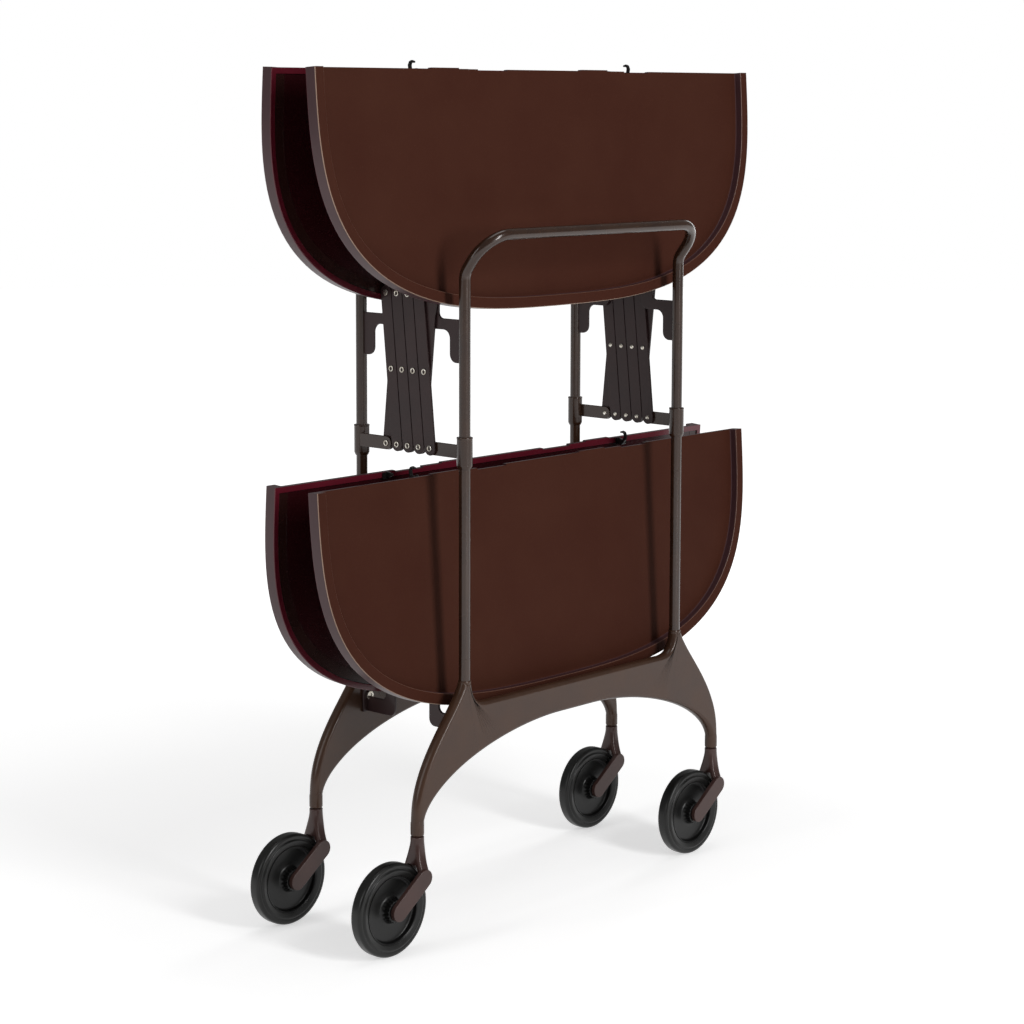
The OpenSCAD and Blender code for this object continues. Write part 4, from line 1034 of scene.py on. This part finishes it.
def neckShell():
    """Rings of x = m + a cos(t)^(2/n), y = b sin(t)^(2/n) at height z. With u from 0 at the neck's top
    to 1 at its foot, b grows by u^2 and n, m and a by a smooth step: round above and square below."""
    s = neckSize
    t = np.linspace(0, 2 * np.pi, s["sides"], endpoint=False)
    cos, sin = np.cos(t), np.sin(t)

    def powered(value, n):
        """value^(2/n), with value's sign."""
        return np.sign(value) * np.abs(value) ** (2 / n)

    middle, deep = (s["front"] - s["back"]) / 2, (s["front"] + s["back"]) / 2
    wide = casterSize["forkW"] / 2 - s["proud"]
    foot = neckFoot(middle + deep * powered(cos, s["square"]), wide * powered(sin, s["square"]))
    z = s["split"] + (foot - s["split"]) * np.linspace(0, 1, s["rings"])[:, None]
    u = ((s["top"] - z) / (s["top"] - s["low"])).clip(0, 1)
    low = smoothStep(u, 0, s["squareBy"])
    n = 2 + (s["square"] - 2) * low
    x = middle * low + (s["r"] + (deep - s["r"]) * low) * powered(cos, n)
    y = (s["r"] + (wide - s["r"]) * u ** s["flare"]) * powered(sin, n)
    shrink = np.array(neckUnder)[:, None]
    underX, underY = middle + (x[-1] - middle) * shrink, y[-1] * shrink
    under = np.stack([underX, underY, neckFoot(underX, underY)], -1)
    lidR, lidH = np.array(neckLid).T[..., None]
    lid = np.stack([lidR * cos, lidR * sin, s["split"] + lidH + 0 * cos * lidR], -1)
    return gridShell(np.concatenate([lid, np.stack([x, y, z], -1), under]), closeColumns=True)


def forkShell():
    """Neck, swivel pin, and two flat arms that stand a little proud of the neck."""
    s, p = casterSize, neckSize
    pin = lathe([(0, p["pinLow"]), (p["pinR"], p["pinLow"]), (p["pinR"], p["pinHigh"]), (0, p["pinHigh"])],
                (0, 0, 0), "z", 24)
    bar = roundBar((-s["trail"], s["wheelR"]), s["knee"], s["armW"] / 2, 21)
    arms, half = [], s["forkW"] / 2
    for low in (half - s["armT"], -half):
        flat, faces = plate(bar, low, low + s["armT"], s["armEdge"], 4)
        arms.append((flat[:, [1, 0, 2]], [block[:, ::-1] for block in faces]))
    return joinShells(neckShell(), pin, *arms)


def tyreShell():
    """Lathe of the tread, the shoulders and, on each face, a shallow groove and a rolled bead."""
    half = np.array([(48.5, 0), (48.5, 3.2), (48.3, 4.6), (47.7, 5.8), (46.8, 6.6), (45.6, 7.0),
                     (44.2, 6.9), (43.2, 6.5), (42.6, 6.5), (42.2, 7.0), (41.7, 7.7), (41.0, 8.0),
                     (40.2, 7.9), (38.4, 7.4), (36.6, 6.9), (35.7, 6.6), (35.5, 6.4), (35.5, 0)])
    return lathe(np.concatenate([half, (half * (1, -1))[::-1]]), (0, 0, 0), "y", 96)


def hubShell():
    """Lathe of the wheel centre: a dished web, and a boss whose wall carries ribs, r - d w(cos na), where
    w steps smoothly from 0 to 1. The second list says how deep the ribs are at each point."""
    s = {"ribs": 18, "ribDepth": 0.9, "sides": 180}
    half = np.array([(35.55, 0), (35.55, 6.6), (35.2, 7.0), (34.4, 6.8), (33.8, 6.2), (33.5, 5.4),
                     (33.2, 2.8), (32.6, 1.9), (31.0, 1.5), (20, 1.3), (15.5, 1.5), (14.0, 2.2),
                     (13.2, 3.2), (12.6, 4.6), (12.2, 6.0), (12.0, 9.5), (12.0, 10.8), (11.6, 11.4),
                     (11.0, 11.6), (8.2, 11.6), (7.7, 11.3), (7.4, 10.2), (3.3, 10.2), (3.3, 0)])
    ribbed = np.array([0] * 13 + [0.5, 1, 1, 1, 0.7, 0.3] + [0] * 5)
    loop = np.concatenate([half, (half * (1, -1))[::-1]])
    cut = np.concatenate([ribbed, ribbed[::-1]])
    angle = np.linspace(0, 2 * np.pi, s["sides"], endpoint=False)
    wave = smoothStep(np.cos(s["ribs"] * angle), -0.5, 0.5)
    r = loop[:, :1] - s["ribDepth"] * cut[:, None] * wave[None]
    y = loop[:, 1:] * np.ones_like(r)
    return gridShell(np.stack([r * np.cos(angle), y, r * np.sin(angle)], -1), closeColumns=True)


def makeCasters():
    """Fork, axle, hub and tyre at the four corners, all trailing the same way."""
    s = casterSize
    r, edge, half = s["axleR"], s["axleEdge"], s["forkW"] / 2 - s["armT"] + s["axleBury"]
    axle = lathe([(0, -half), (r - edge, -half), (r, edge - half), (r, half - edge), (r - edge, half),
                  (0, half)], (0, 0, 0), "y", 32)
    parts = {
        "Fork": (forkShell(), "fork", "fork", "fork_paint", 40),
        "Axle": (axle, "nickel", "fork", "rivet_nickel", 40),
        "Hub": (hubShell(), "wheel", "wheel", "wheel_plastic", 55),
        "Tyre": (tyreShell(), "tyre", "wheel", "tyre_rubber", 55),
    }
    for side, row in (("near", -1), ("far", 1)):
        for end, column in (("left", -1), ("right", 1)):
            corner = np.array([column * s["x"], row * s["y"], 0.0])
            wheel = corner + (-s["trail"], 0, s["wheelR"])
            for title, (shell, finish, body, slot, smoothUnder) in parts.items():
                place = corner if title == "Fork" else wheel
                makePiece(f"{side}{end.title()}{title}", (shell[0] + place, shell[1]), finish,
                          f"{side}_{end}_{body}", f"{side}_{end}_{title.lower()}", smoothUnder)


makeCasters()
print("casters made")
